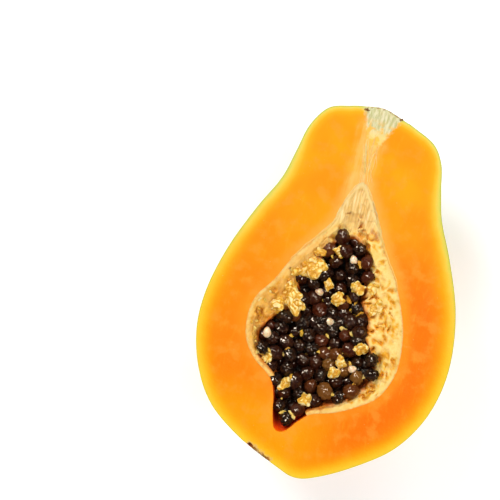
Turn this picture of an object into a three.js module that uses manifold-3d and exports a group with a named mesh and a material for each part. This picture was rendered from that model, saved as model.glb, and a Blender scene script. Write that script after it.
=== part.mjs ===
// Half of a ripe papaya, cut lengthways through the stalk and lying on its back with the cut face up.
// Millimetres. +Z is up, +Y points to the stalk end, +X is to the right of someone who looks down on
// the cut face with the stalk away from them. The origin is under the middle of the half, on the
// surface that it rests on.
//
// Three bodies make it up:
//   papaya_half  skin and flesh, which grew as one piece, with the seed cavity, the stub of the stalk
//                and the five soft ribs of the fruit's five carpels
//   pulp         the spongy pale lining that a spoon scrapes out: the lip round the cavity, the
//                nuggets that stand among the seeds, and the unripe pale seeds on their stalks
//   seeds        the black seeds, each in its own skin of gel, grown together in one bed
import * as THREE from "three";
import { mergeGeometries, mergeVertices } from "three/addons/utils/BufferGeometryUtils.js";
import Module from "manifold-3d";

const wasm = await Module();
wasm.setup();

// ---------------------------------------------------------------- driving dimensions
const CUT_HEIGHT = 55; // the cut face above the surface that the half rests on
// Depth of the back over half the width, at the blossom end, at the belly and at the neck. The belly
// is lowest under the centre of mass, so the half lies on it without rocking.
const ROUNDNESS_BLOSSOM = 0.955;
const ROUNDNESS_BELLY = 1.045;
const ROUNDNESS_NECK = 0.98;
const RIB_DEPTH_NECK = 0.042; // share of the radius by which a rib stands out at the neck
const RIB_DEPTH_BELLY = 0.006;
const NECK_Y = 56; // where the ribs are deepest
const NECK_REACH = 30; // how far along the axis they fade out

// The cavity is shallow from its rim to the edge of the seed bed, and a deep bowl under the seeds.
const CAVITY_CENTRE = [0, -15];
const CAVITY_DEPTH = 30; // the flesh wall's lowest point below the cut face
const CAVITY_SHELF = 8; // the flesh wall below the cut face at the edge of the seed bed
const PULP_DEPTH = 26.5; // the pulp's surface, likewise
const PULP_SHELF = 3.6;
const PULP_RELIEF = 0.7; // of the spongy lumps on the pulp's visible band
const GAP = 0.35; // clearance between bodies that touch
const BED_CENTRE = [-2, -18];
const BED_MARGIN = 1.6; // the bed's edge beyond the line through its outermost seeds

const SEED_RADIUS = 3.2;
const SEED_STRETCH = 1.14; // a seed is a little longer than it is wide
const SEED_COUNT = 78;
const SEED_SPACING = 6.6; // between the centres of neighbours, where there is room
const SETTLING_ROUNDS = 150;
const SEED_SPREAD = 1.6; // how far a seed may lie above or below the bed's own dished top
const BED_EDGE_DEPTH = 1.6; // seed centres below the cut face at the edge of the bed
const BED_MIDDLE_DEPTH = 9.5; // and at its middle, so that the bed is dished
const BED_HALF_WIDTH = 24;
const BED_HALF_LENGTH = 42;
const CORE_DROP = 1.5; // the bed's core below the seed centres
const NUGGET_CLEARANCE = 1.2; // a seed's centre keeps this far outside a nugget

// Facets along and around each surface. A bowl's rings run from 0 at its rim, over 1 at the edge of
// the seed bed, towards 2 at its lowest point.
const STATIONS = 46;
const MERIDIANS = 28;
const RIM_STEPS = 52;
const FLESH_RINGS = [0, 0.08, 0.22, 0.48, 0.8, 1.04, 1.2, 1.45];
const PULP_RINGS = [0, 0.12, 0.27, 0.44, 0.62, 0.81, 1, 1.13, 1.4];
const UNDERSIDE_RINGS = [0, 0.6, 1, 1.13, 1.4]; // fewer, because the seeds hide it
const UNDERSIDE_GAP = 1.2;
const BEARINGS = [-0.2, -0.1, 0, 0.1, 0.2]; // radians over which the bed's edge is evened out
const CORE_RINGS = [0.25, 0.5, 0.75, 0.95];
const SHORTEST_EDGE = 0.03; // what a boolean leaves below this is drawn together

// The cut outline, anticlockwise from the blossom end up the right side to the stalk and down the
// left side. Both sides have as many points, so that a station joins a point on each.
const OUTLINE_RIGHT = [
  [12, -82.9], [26, -75], [42, -62.6], [52, -47.6], [56.9, -31], [57.3, -13],
  [53.3, 7.3], [45, 27.6], [37.3, 43.3], [33.4, 56.5], [30.6, 67.5], [25, 75.6], [14.6, 80.6],
  [9.4, 82.4],
];
const STALK_TIP = [-0.5, 85.4];
const OUTLINE_LEFT = [
  [-9.6, 84.3], [-16, 82.8], [-25.2, 79.4], [-31.4, 69.6], [-34.2, 57], [-37.4, 43.6],
  [-45, 27.4], [-52.7, 7.3], [-57.2, -13], [-57.1, -31], [-51.6, -48.5], [-41.5, -63.3],
  [-25, -74.6], [-6, -82.8],
];
const BLOSSOM_TIP = [3, -85.4];

// The edge of the seed cavity in the cut face, clockwise from its tip near the stalk, and the inner
// lip of the pulp, point for point. The narrow tongue at the blossom end is bare flesh.
const CAVITY_RIM = [
  [-2, 51], [3.5, 45.5], [7.5, 38.5], [11.5, 31.5], [15, 25], [19, 19], [24, 12], [29.5, 1],
  [33.5, -10], [35.2, -22], [34.5, -31], [30, -41], [22, -47.5], [13, -52.5], [3, -56], [-2, -60.5],
  [-7, -66.5], [-11.5, -66.5], [-14, -60], [-15.5, -53], [-18, -46.5], [-22, -42.5], [-28, -38.5],
  [-34, -31], [-36.3, -21], [-35, -11], [-29, -1.5], [-23, 11], [-15, 22], [-9, 31], [-7, 41],
];
const PULP_LIP = [
  [-4, 39], [-1, 38.5], [2.5, 35.5], [6, 30], [8.5, 24], [12.5, 18.5], [19.5, 11], [26.5, 1],
  [31, -10], [33, -21.5], [32, -30], [28, -39], [20.5, -45.5], [12, -50.5], [2.5, -54.3], [-2.6, -58.5],
  [-7.5, -64.8], [-11, -64.8], [-12.6, -59.5], [-13.8, -52.4], [-16.3, -45.3], [-20.5, -40.6],
  [-26.5, -36.8], [-31.8, -30], [-34, -21], [-32.6, -11.5], [-26.8, -3], [-21, 9.5], [-13.2, 20.5],
  [-7.4, 29.5], [-5.6, 35.5],
];
const TONGUE_CENTRE = [-9, -57];
const BARE_TONGUE = [
  [-22, -45.5], [-16, -42.5], [-9, -49], [-1.5, -53.5], [2, -58], [-4, -72], [-16, -72], [-20, -52],
];

// The line through the outermost seeds of the bed.
const BED_OUTLINE = [
  [-6.2, 25], [-2, 27], [1.8, 26], [7.5, 20.7], [12.8, 13], [13, 7.5], [9.8, 1.5], [11.5, -4],
  [17.2, -9.8], [15.4, -14], [15.5, -18.5], [20.3, -22], [25, -26.4], [25, -32], [22, -38],
  [15.7, -44.7], [6.7, -50], [0.7, -51.6], [-3, -58], [-9, -64.5], [-12.2, -62.5], [-12.8, -54.6],
  [-14.5, -48], [-22, -39], [-28, -30], [-28, -22.6], [-25.8, -17.9], [-18, -15.5], [-14.3, -9],
  [-15, -3], [-19.5, 1], [-19, 4], [-14.5, 3.6], [-8.5, 5], [-7.5, 11], [-10.5, 13.4], [-8, 20.2],
];

// Pulp nuggets that stand up through the bed: x, y, radius and the depth of the top below the cut face.
const NUGGETS = [
  [-13.8, 8.4, 4.5, 0.8], [-21.4, 4.2, 1.9, 0.9], [-20.8, -2.8, 2.3, 1], [-19.4, -7.2, 3.2, 1.2],
  [-16.4, -10.4, 3, 1.8], [-26, -13, 3, 1.5], [-4.4, 18.4, 1.9, 2.2], [-11.6, 16, 2.4, 1.1],
  [0.8, -2.8, 2.3, 4.6], [8.3, 3.9, 2.4, 2.2], [-4.5, 2.3, 1.8, 3.2], [-12.4, -45.8, 2.6, 2.4],
  [8, -35.6, 2.4, 2.8], [10, -30.4, 2.2, 3.6], [17.4, -22, 2.8, 2], [-23.8, -35.4, 2.5, 1.2],
  [-0.8, -50.8, 2.6, 1.4], [19.5, -2.5, 2.7, 1.9], [15.6, 6.6, 2.4, 1.6],
];
// Unripe seeds: x, y and half the length. Each stands on a stalk among the black ones.
const PALE_SEEDS = [
  [-25.8, -25.3, 2.4], [-7.4, -1.7, 2.1], [0.4, -13.6, 2.2], [3.6, 16.1, 2.2], [15.8, -31.6, 2],
];

const SKIN_GREEN = "#8fa02a";
const SKIN_YELLOW = "#e9b21c";
const FLESH_ORANGE = "#ff9410";
const FLESH_YELLOW = "#f2c93c";
const CAVITY_RED = "#f08419";
const STALK_PALE = "#cfcb92";
const PULP_CREAM = "#f3cf86";
const SEED_BLACK = "#1d120e";

// ---------------------------------------------------------------- small helpers
const smooth = (low, high, value) => THREE.MathUtils.smoothstep(value, low, high);
const closedCurve = (points) =>
  new THREE.CatmullRomCurve3(points.map(([x, y]) => new THREE.Vector3(x, y, 0)), true, "catmullrom", 0.5);

// A repeatable stream of numbers from 0 to 1.
function draws(seed) {
  let state = seed;
  return () => {
    state = (state * 1664525 + 1013904223) % 4294967296;
    return state / 4294967296;
  };
}

// Triangles between rows of points, all with as many points; a closed row joins its ends. Rows may
// shrink to a single point, so triangles without an area are left out.
function skinBetween(rows, closed, flipped) {
  const across = rows[0].length;
  const points = rows.flat();
  const corners = [];
  for (let i = 0; i + 1 < rows.length; i++) {
    for (let j = 0; j < (closed ? across : across - 1); j++) {
      const a = i * across + j;
      const b = i * across + ((j + 1) % across);
      for (const triangle of [[a, b, b + across], [a, b + across, a + across]]) {
        const [p, q, r] = triangle.map((k) => points[k]);
        const flat = p.equals(q) || q.equals(r) || r.equals(p);
        if (!flat) corners.push(...(flipped ? [r, q, p] : [p, q, r]));
      }
    }
  }
  return new THREE.BufferGeometry().setFromPoints(corners);
}

// The same row of points shrunk to one, which closes a bowl.
const asPole = (row, point) => row.map(() => point.clone());

function solidOf(geometry) {
  const bare = new THREE.BufferGeometry();
  const source = geometry.index ? geometry.toNonIndexed() : geometry;
  bare.setAttribute("position", source.getAttribute("position"));
  const merged = mergeVertices(bare, 1e-4);
  const vertProperties = merged.attributes.position.array;
  return new wasm.Manifold(new wasm.Mesh({ numProp: 3, vertProperties, triVerts: merged.index.array }));
}

// A boolean leaves some edges thousandths of a millimetre long. Each is drawn together to one point,
// and its two triangles go, unless its ends share a third neighbour, where that would pinch the surface.
function geometryOf(solid) {
  const { vertProperties, triVerts } = solid.getMesh();
  const point = (i) => new THREE.Vector3().fromArray(vertProperties, 3 * i);
  const around = Array.from({ length: vertProperties.length / 3 }, () => new Set());
  for (let i = 0; i < triVerts.length; i += 3) {
    const face = [...triVerts.subarray(i, i + 3)];
    face.forEach((corner) => around[corner].add(face));
  }
  const drawTogether = (a, b) => {
    const beside = new Set([...around[b]].flat());
    const shared = new Set([...around[a]].flat().filter((i) => i !== a && i !== b && beside.has(i)));
    if (shared.size > 2) return;
    for (const face of [...around[b]]) {
      if (face.includes(a)) {
        face.forEach((corner) => around[corner].delete(face));
      } else {
        face[face.indexOf(b)] = a;
        around[a].add(face);
      }
    }
    around[b].clear();
  };
  triVerts.forEach((a, i) => {
    const b = triVerts[i % 3 === 2 ? i - 2 : i + 1];
    const joined = [...around[a]].some((face) => face.includes(b));
    if (joined && point(a).distanceTo(point(b)) < SHORTEST_EDGE) drawTogether(a, b);
  });
  const faces = new Set(around.flatMap((set) => [...set]));
  return new THREE.BufferGeometry().setFromPoints([...faces].flat().map(point));
}

const largestPiece = (solid) => solid.decompose().sort((a, b) => b.volume() - a.volume())[0];

// ---------------------------------------------------------------- skin and flesh
const outline = closedCurve([BLOSSOM_TIP, ...OUTLINE_RIGHT, STALK_TIP, ...OUTLINE_LEFT]);

// A point of the skin: station runs from 0 at the blossom end to 1 at the stalk, and turn from 0 at
// the right edge of the cut face, under the back, to pi at the left edge.
function skinPoint(station, turn) {
  const right = outline.getPoint(station / 2);
  const left = outline.getPoint(1 - station / 2);
  const middle = right.clone().add(left).multiplyScalar(0.5);
  const half = right.clone().sub(middle);
  const nearness = Math.max(0, 1 - Math.abs(middle.y - NECK_Y) / NECK_REACH);
  const ribDepth = RIB_DEPTH_BELLY + (RIB_DEPTH_NECK - RIB_DEPTH_BELLY) * smooth(0, 1, nearness);
  const rib = 1 - ribDepth * Math.sin(5 * turn);
  const towardsBelly = (ROUNDNESS_BELLY - ROUNDNESS_BLOSSOM) * smooth(-30, 18, middle.y);
  const towardsNeck = (ROUNDNESS_BELLY - ROUNDNESS_NECK) * smooth(15, 60, middle.y);
  const roundness = ROUNDNESS_BLOSSOM + towardsBelly - towardsNeck;
  const back = half.length() * roundness * Math.sin(turn) * rib;
  const across = half.multiplyScalar(Math.cos(turn) * rib);
  return new THREE.Vector3(middle.x + across.x, middle.y + across.y, Math.max(0, CUT_HEIGHT - back));
}

// More stations near both ends, where the outline turns fastest.
const stationAt = (i) => (1 - Math.cos((Math.PI * i) / STATIONS)) / 2 * 0.35 + (i / STATIONS) * 0.65;

// How far the seed bed reaches from the cavity's centre, in the direction of an angle.
function bedReach(angle) {
  const [cx, cy] = CAVITY_CENTRE;
  const [dx, dy] = [Math.cos(angle), Math.sin(angle)];
  let reach = 0;
  BED_OUTLINE.forEach(([ax, ay], i) => {
    const [bx, by] = BED_OUTLINE[(i + 1) % BED_OUTLINE.length];
    const sideA = dx * (ay - cy) - dy * (ax - cx);
    const sideB = dx * (by - cy) - dy * (bx - cx);
    if (sideA > 0 === sideB > 0) return;
    const share = sideA / (sideA - sideB);
    const along = (ax + share * (bx - ax) - cx) * dx + (ay + share * (by - ay) - cy) * dy;
    reach = Math.max(reach, along);
  });
  return reach;
}

// The seed bed's edge in the direction of an angle, evened out and never closer to the rim than least.
function bedEdge(angle, rimRadius, least, grow) {
  const total = BEARINGS.reduce((sum, turn) => sum + bedReach(angle + turn), 0);
  return Math.min(total / BEARINGS.length + BED_MARGIN - grow, rimRadius - least);
}

// Spongy lumps, as a height at a place.
function lumps(x, y) {
  const wave = Math.sin(0.95 * x + 1.4 * Math.sin(0.42 * y)) * Math.sin(0.88 * y + 1.1 * Math.sin(0.5 * x));
  return wave + 0.5 * Math.sin(1.7 * x - 0.6 * y);
}

// The rows of a bowl round the cavity's centre, from a rim that runs clockwise. Grow shrinks the bowl
// from every side, which leaves room for a neighbour.
function bowl(rim, { rings, shelf, depth, least, relief = 0, grow = 0 }) {
  const centre = new THREE.Vector3(...CAVITY_CENTRE, 0);
  const rows = rings.map(() => []);
  for (let i = 0; i < RIM_STEPS; i++) {
    const along = rim.getTangent(i / RIM_STEPS);
    const inward = new THREE.Vector3(along.y, -along.x, 0);
    const out = rim.getPoint(i / RIM_STEPS).addScaledVector(inward, grow).sub(centre);
    const edge = out.length();
    const bed = bedEdge(Math.atan2(out.y, out.x), edge, least, grow);
    rings.forEach((ring, k) => {
      const onShelf = ring < 1;
      const radius = onShelf ? edge + (bed - edge) * ring : bed * (2 - ring);
      const fall = onShelf ? shelf * (1 - (1 - ring) ** 2) : (depth - shelf) * (1 - (2 - ring) ** 2) ** 0.7;
      const point = out.clone().setLength(Math.max(radius, 1e-9)).add(centre);
      const height = relief * smooth(0, 0.12, ring) * smooth(0, 0.15, 1.15 - ring) * lumps(point.x, point.y);
      const below = (onShelf ? 0 : shelf) + fall - height - grow;
      rows[k].push(point.setZ(CUT_HEIGHT - Math.max(0, below)));
    });
  }
  const lowest = centre.clone().setZ(CUT_HEIGHT - depth + grow);
  return [...rows, asPole(rows[0], lowest)];
}

const FLESH_BOWL = { rings: FLESH_RINGS, shelf: CAVITY_SHELF, depth: CAVITY_DEPTH, least: 3 };
const PULP_BOWL = { rings: PULP_RINGS, shelf: PULP_SHELF, depth: PULP_DEPTH, least: 1.3 };
const UNDERSIDE = { ...PULP_BOWL, rings: UNDERSIDE_RINGS, grow: UNDERSIDE_GAP };
const fleshWall = (grow) => bowl(closedCurve(CAVITY_RIM), { ...FLESH_BOWL, grow });
const pulpSurface = () => bowl(closedCurve(PULP_LIP), { ...PULP_BOWL, relief: PULP_RELIEF });
const seedsUnderside = () => bowl(closedCurve(PULP_LIP), UNDERSIDE);

function cutFace(outer, inner) {
  const flat = (points) => points.map((p) => new THREE.Vector2(p.x, p.y));
  const index = THREE.ShapeUtils.triangulateShape(flat(outer), [flat(inner)]).flat();
  const made = new THREE.BufferGeometry();
  const positions = [...outer, ...inner].flatMap((p) => [p.x, p.y, CUT_HEIGHT]);
  made.setAttribute("position", new THREE.Float32BufferAttribute(positions, 3));
  made.setIndex(index);
  return made;
}

// Colours a geometry's points by a rule.
function coloured(geometry, colourAt) {
  const position = geometry.getAttribute("position");
  const colours = [];
  const point = new THREE.Vector3();
  for (let i = 0; i < position.count; i++) {
    colourAt(point.fromBufferAttribute(position, i)).toArray(colours, 3 * i);
  }
  geometry.setAttribute("color", new THREE.Float32BufferAttribute(colours, 3));
  return geometry;
}

const blendOf = (a, b, share) => new THREE.Color(a).lerp(new THREE.Color(b), share);

function papayaHalf() {
  const rows = [];
  for (let i = 0; i <= STATIONS; i++) {
    const turns = Array.from({ length: MERIDIANS + 1 }, (_, j) => (Math.PI * j) / MERIDIANS);
    rows.push(turns.map((turn) => skinPoint(stationAt(i), turn)));
  }
  const rightEdge = rows.map((row) => row[0]);
  const leftEdge = rows.map((row) => row[MERIDIANS]).slice(1, -1).reverse();
  const wall = fleshWall(0);
  const skin = coloured(skinBetween(rows, false, false), (p) =>
    blendOf(SKIN_YELLOW, SKIN_GREEN, smooth(5, 60, p.y)),
  );
  const face = coloured(cutFace([...rightEdge, ...leftEdge], wall[0]), (p) => {
    const onSkin = Math.hypot(p.x, p.y + 15) > 40 || p.y > 54;
    const onStalk = Math.abs(p.x) < 9.7 && p.y > 80;
    return new THREE.Color(onStalk ? STALK_PALE : onSkin ? FLESH_YELLOW : FLESH_ORANGE);
  });
  const cavity = coloured(skinBetween(wall, true, true), () => new THREE.Color(CAVITY_RED));
  const geometry = mergeGeometries([skin, face.toNonIndexed(), cavity]);
  geometry.computeVertexNormals();
  return geometry;
}

// ---------------------------------------------------------------- pulp
// The free space over a bowl's rows, up to above the cut face.
function airOver(rows) {
  const lid = rows[0].map((p) => p.clone().setZ(CUT_HEIGHT + 12));
  const top = asPole(lid, new THREE.Vector3(...CAVITY_CENTRE, CUT_HEIGHT + 12));
  return solidOf(skinBetween([top, lid, ...rows], true, false));
}

function tongue(scale) {
  const [cx, cy] = TONGUE_CENTRE;
  const shape = new THREE.Shape(
    BARE_TONGUE.map(([x, y]) => new THREE.Vector2(cx + scale * (x - cx), cy + scale * (y - cy))),
  );
  const prism = new THREE.ExtrudeGeometry(shape, { depth: CUT_HEIGHT, bevelEnabled: false });
  return solidOf(prism.translate(0, 0, CUT_HEIGHT / 3));
}

// A lump on a neck that goes down into the pulp, and the plain hole that the seeds leave round it.
function nugget([x, y, radius, topDepth]) {
  const head = CUT_HEIGHT - topDepth - 0.8 * radius;
  const profile = [
    [0, CUT_HEIGHT - PULP_DEPTH], [0.6 * radius, CUT_HEIGHT - PULP_DEPTH], [0.65 * radius, head - radius],
    [radius, head - 0.1 * radius], [0.7 * radius, head + 0.6 * radius], [0, head + 0.8 * radius],
  ];
  const turned = new THREE.LatheGeometry(profile.map(([r, h]) => new THREE.Vector2(r, h)), 8);
  return solidOf(turned.rotateX(Math.PI / 2).scale(1, 0.86, 1).rotateZ(x).translate(x, y, 0));
}

function holeFor([x, y, radius]) {
  const hole = new THREE.CylinderGeometry(radius + 2 * GAP, radius + 2 * GAP, 2 * PULP_DEPTH, 8);
  return solidOf(hole.rotateX(Math.PI / 2).scale(1, 0.88, 1).rotateZ(x).translate(x, y, CUT_HEIGHT));
}

function paleSeed([x, y, radius]) {
  const height = CUT_HEIGHT - bedDepth(x, y) + 1.4;
  const body = new THREE.SphereGeometry(radius, 7, 5).scale(1, 0.8, 0.9).rotateZ(x).translate(x, y, height);
  const drop = height - (CUT_HEIGHT - PULP_DEPTH);
  const stalk = new THREE.CylinderGeometry(0.7, 1, drop, 5).rotateX(Math.PI / 2);
  return solidOf(body).add(solidOf(stalk.translate(x, y, height - drop / 2)));
}

function pulpSolid() {
  const wall = fleshWall(GAP);
  const lining = solidOf(skinBetween([...wall.reverse(), ...pulpSurface()], true, true)).subtract(tongue(1));
  const above = airOver(fleshWall(GAP));
  const standing = [...NUGGETS.map(nugget), ...PALE_SEEDS.map(paleSeed)];
  return largestPiece(lining.add(wasm.Manifold.union(standing).intersect(above)));
}

// ---------------------------------------------------------------- seeds
function bedDepth(x, y) {
  const [cx, cy] = BED_CENTRE;
  const out = ((x - cx) / BED_HALF_WIDTH) ** 2 + ((y - cy) / BED_HALF_LENGTH) ** 2;
  return BED_EDGE_DEPTH + (BED_MIDDLE_DEPTH - BED_EDGE_DEPTH) * Math.max(0, 1 - out);
}

function inside(x, y, polygon) {
  let within = false;
  polygon.forEach(([ax, ay], i) => {
    const [bx, by] = polygon[(i + 1) % polygon.length];
    if (ay > y !== by > y && x < ((bx - ax) * (y - ay)) / (by - ay) + ax) within = !within;
  });
  return within;
}

// Strews the seeds over the bed, then lets them push each other apart, and off the nuggets, until
// they have settled side by side. A seed that is pushed off the bed goes back towards its middle.
function seedPlaces() {
  const draw = draws(20);
  const places = [];
  while (places.length < SEED_COUNT) {
    const place = { x: -30 + 60 * draw(), y: -68 + 98 * draw(), up: SEED_SPREAD * (2 * draw() - 1) };
    if (inside(place.x, place.y, BED_OUTLINE)) places.push(place);
  }
  const push = (place, x, y, clear, share) => {
    const away = Math.hypot(place.x - x, place.y - y) + 1e-6;
    if (away >= clear) return;
    place.x += ((place.x - x) / away) * (clear - away) * share;
    place.y += ((place.y - y) / away) * (clear - away) * share;
  };
  for (let round = 0; round < SETTLING_ROUNDS; round++) {
    for (const a of places) {
      for (const b of places) {
        if (a !== b) push(a, b.x, b.y, SEED_SPACING, 0.45);
      }
      [...NUGGETS, ...PALE_SEEDS].forEach(([x, y, radius]) => push(a, x, y, radius + NUGGET_CLEARANCE, 1));
      for (let i = 0; i < 8 && !inside(a.x, a.y, BED_OUTLINE); i++) {
        a.x += 0.08 * (BED_CENTRE[0] - a.x);
        a.y += 0.08 * (BED_CENTRE[1] - a.y);
      }
    }
  }
  return places.map(({ x, y, up }) => ({ x, y, z: CUT_HEIGHT - bedDepth(x, y) + up }));
}

function seed({ x, y, z }, draw) {
  const radius = SEED_RADIUS * (0.92 + 0.16 * draw());
  const body = new THREE.SphereGeometry(radius, 6, 4).scale(0.95, SEED_STRETCH, 0.95);
  body.rotateX(Math.PI * draw()).rotateY(Math.PI * draw()).rotateZ(Math.PI * draw());
  return solidOf(body.translate(x, y, z));
}

// What the seeds are rooted in, under their dished top.
function bedCore() {
  const [cx, cy] = BED_CENTRE;
  const top = (x, y) => new THREE.Vector3(x, y, CUT_HEIGHT - bedDepth(x, y) - CORE_DROP);
  const rows = CORE_RINGS.map((ring) =>
    BED_OUTLINE.map(([x, y]) => top(cx + (x - cx) * ring, cy + (y - cy) * ring)),
  );
  const foot = rows.at(-1).map((p) => p.clone().setZ(CUT_HEIGHT - CAVITY_DEPTH - 5));
  const ends = [asPole(foot, top(cx, cy)), asPole(foot, new THREE.Vector3(cx, cy, foot[0].z))];
  return solidOf(skinBetween([ends[0], ...rows, foot, ends[1]], true, false));
}

function seedSolid() {
  const draw = draws(3);
  const bodies = seedPlaces().map((place) => seed(place, draw));
  const openTongue = airOver(fleshWall(GAP)).intersect(tongue(0.95));
  const room = airOver(seedsUnderside()).add(openTongue);
  const inTheWay = [...NUGGETS, ...PALE_SEEDS].map(holeFor);
  const bed = wasm.Manifold.union([bedCore(), ...bodies]).intersect(room);
  return largestPiece(bed.subtract(wasm.Manifold.union(inTheWay)));
}

// ---------------------------------------------------------------- the part
function node(name, geometry, material) {
  const mesh = new THREE.Mesh(geometry, new THREE.MeshStandardMaterial({ metalness: 0, ...material }));
  mesh.name = name;
  return mesh;
}

const papaya = new THREE.Group();
papaya.add(
  node("papaya_half", papayaHalf(), { vertexColors: true, roughness: 0.45 }),
  node("pulp", geometryOf(pulpSolid()), { color: PULP_CREAM, roughness: 0.5, flatShading: true }),
  node("seeds", geometryOf(seedSolid()), { color: SEED_BLACK, roughness: 0.22, flatShading: true }),
);

export default papaya;
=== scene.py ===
# %% [markdown]
# # A papaya cut in half
#
# This notebook dresses the plain solids of half a papaya: the skin and flesh, the pale pulp that lines
# the seed cavity, and the bed of black seeds. The solids say where everything is. Here each one is
# replaced by a finer form of the same rule, with the small relief and the colours of the real fruit.
# All lengths are written in millimetres, as on a drawing, and are turned into Blender's metres once.

# %% Load the solids
import math

import bmesh
import bpy
import numpy as np
from mathutils import Euler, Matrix, Vector, kdtree, noise


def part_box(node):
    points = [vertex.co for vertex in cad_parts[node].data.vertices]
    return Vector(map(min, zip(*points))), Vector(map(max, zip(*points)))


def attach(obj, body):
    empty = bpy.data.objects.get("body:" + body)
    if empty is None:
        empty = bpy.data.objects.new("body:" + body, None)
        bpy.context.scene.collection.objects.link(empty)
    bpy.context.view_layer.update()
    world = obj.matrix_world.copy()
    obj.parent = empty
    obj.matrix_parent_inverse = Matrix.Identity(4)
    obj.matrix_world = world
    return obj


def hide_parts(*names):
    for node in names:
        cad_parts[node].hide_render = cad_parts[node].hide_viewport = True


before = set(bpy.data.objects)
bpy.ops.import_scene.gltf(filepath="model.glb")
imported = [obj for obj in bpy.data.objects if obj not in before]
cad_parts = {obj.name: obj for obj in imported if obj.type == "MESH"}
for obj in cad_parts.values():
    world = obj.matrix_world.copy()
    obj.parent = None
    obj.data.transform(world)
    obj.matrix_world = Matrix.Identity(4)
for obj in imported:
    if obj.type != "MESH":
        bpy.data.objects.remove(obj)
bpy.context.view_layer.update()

# Without a seed, noise_vector would start from the clock and give another pattern each time.
noise.seed_set(5)
MM = 0.001
FULL_TURN = 2 * math.pi
CUT_HEIGHT = 1000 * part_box("papaya_half")[1].z


def show(name, data):
    """Puts a mesh, a camera or a lamp into the scene as an object."""
    shown = bpy.data.objects.new(name, data)
    bpy.context.scene.collection.objects.link(shown)
    return shown


print("nodes", sorted(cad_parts), "cut face at", round(CUT_HEIGHT, 2), "mm")

# %% [markdown]
# ## Camera
#
# The half lies on its back with the cut face up, and the camera looks straight down on it. A long lens
# keeps the outline free of perspective. The fruit's axis leans to the right in the frame, so the
# camera is turned about its own line of sight rather than the fruit about the floor. The frame is
# wider than the half, which stands right of its middle.

# %% Camera
VIEW_WIDTH = 225.0
VIEW_CENTRE = (-42.8, 8.4)
LENS, SENSOR = 100.0, 36.0
LEAN = 15

camera = show("camera", bpy.data.cameras.new("camera"))
camera.data.lens = LENS
camera.data.sensor_width = SENSOR
stand_off = VIEW_WIDTH * LENS / SENSOR
camera.location = Vector((*VIEW_CENTRE, CUT_HEIGHT + stand_off)) * MM
camera.rotation_euler = (0, 0, math.radians(LEAN))
bpy.context.scene.camera = camera
print("camera", round(stand_off), "mm above the cut face")

# %% [markdown]
# ## The lines that shape the fruit
#
# A cut papaya is ruled by a few lines in its cut face: the outline of the skin, the rim of the cavity,
# the inner lip of the pulp and the edge of the seed bed. They could be drawn as Blender curves, but
# plain lists of points can be measured: how far a place is from the skin decides its colour. Each
# line is smoothed by a Catmull-Rom spline, which passes through all of its points.

# %% The lines in the cut face
OUTLINE = [
    (3, -85.4), (12, -82.9), (26, -75), (42, -62.6), (52, -47.6), (56.9, -31), (57.3, -13),
    (53.3, 7.3), (45, 27.6), (37.3, 43.3), (33.4, 56.5), (30.6, 67.5), (25, 75.6), (14.6, 80.6),
    (9.4, 82.4), (-0.5, 85.4), (-9.6, 84.3), (-16, 82.8), (-25.2, 79.4), (-31.4, 69.6),
    (-34.2, 57), (-37.4, 43.6), (-45, 27.4), (-52.7, 7.3), (-57.2, -13), (-57.1, -31),
    (-51.6, -48.5), (-41.5, -63.3), (-25, -74.6), (-6, -82.8),
]
CAVITY_RIM = [
    (-2, 51), (3.5, 45.5), (7.5, 38.5), (11.5, 31.5), (15, 25), (19, 19), (24, 12), (29.5, 1),
    (33.5, -10), (35.2, -22), (34.5, -31), (30, -41), (22, -47.5), (13, -52.5), (3, -56),
    (-2, -60.5), (-7, -66.5), (-11.5, -66.5), (-14, -60), (-15.5, -53), (-18, -46.5), (-22, -42.5),
    (-28, -38.5), (-34, -31), (-36.3, -21), (-35, -11), (-29, -1.5), (-23, 11), (-15, 22), (-9, 31),
    (-7, 41),
]
PULP_LIP = [
    (-4, 39), (-1, 38.5), (2.5, 35.5), (6, 30), (8.5, 24), (12.5, 18.5), (19.5, 11), (26.5, 1),
    (31, -10), (33, -21.5), (32, -30), (28, -39), (20.5, -45.5), (12, -50.5), (2.5, -54.3),
    (-2.6, -58.5), (-7.5, -64.8), (-11, -64.8), (-12.6, -59.5), (-13.8, -52.4), (-16.3, -45.3),
    (-20.5, -40.6), (-26.5, -36.8), (-31.8, -30), (-34, -21), (-32.6, -11.5), (-26.8, -3),
    (-21, 9.5), (-13.2, 20.5), (-7.4, 29.5), (-5.6, 35.5),
]
BED_OUTLINE = [
    (-6.2, 25), (-2, 27), (1.8, 26), (7.5, 20.7), (12.8, 13), (13, 7.5), (9.8, 1.5), (11.5, -4),
    (17.2, -9.8), (15.4, -14), (15.5, -18.5), (20.3, -22), (25, -26.4), (25, -32), (22, -38),
    (15.7, -44.7), (6.7, -50), (0.7, -51.6), (-3, -58), (-9, -64.5), (-12.2, -62.5), (-12.8, -54.6),
    (-14.5, -48), (-22, -39), (-28, -30), (-28, -22.6), (-25.8, -17.9), (-18, -15.5), (-14.3, -9),
    (-15, -3), (-19.5, 1), (-19, 4), (-14.5, 3.6), (-8.5, 5), (-7.5, 11), (-10.5, 13.4), (-8, 20.2),
]
CAVITY_CENTRE = np.array((0.0, -15.0))


def loop_at(points, shares):
    """Points of the smooth closed line through the given ones. A share runs from 0 to 1 round it."""
    points = np.array(points, float)
    place = np.mod(np.asarray(shares, float), 1) * len(points)
    first = np.floor(place).astype(int)
    along = (place - first)[:, None]
    before, start, end, after = (points[(first + k) % len(points)] for k in (-1, 0, 1, 2))
    leave, arrive = (end - before) / 2, (after - start) / 2
    bend = 3 * (end - start) - 2 * leave - arrive
    return start + leave * along + bend * along**2 + (2 * (start - end) + leave + arrive) * along**3


def smooth(low, high, value):
    share = np.clip((np.asarray(value, float) - low) / (high - low), 0, 1)
    return share * share * (3 - 2 * share)


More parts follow.
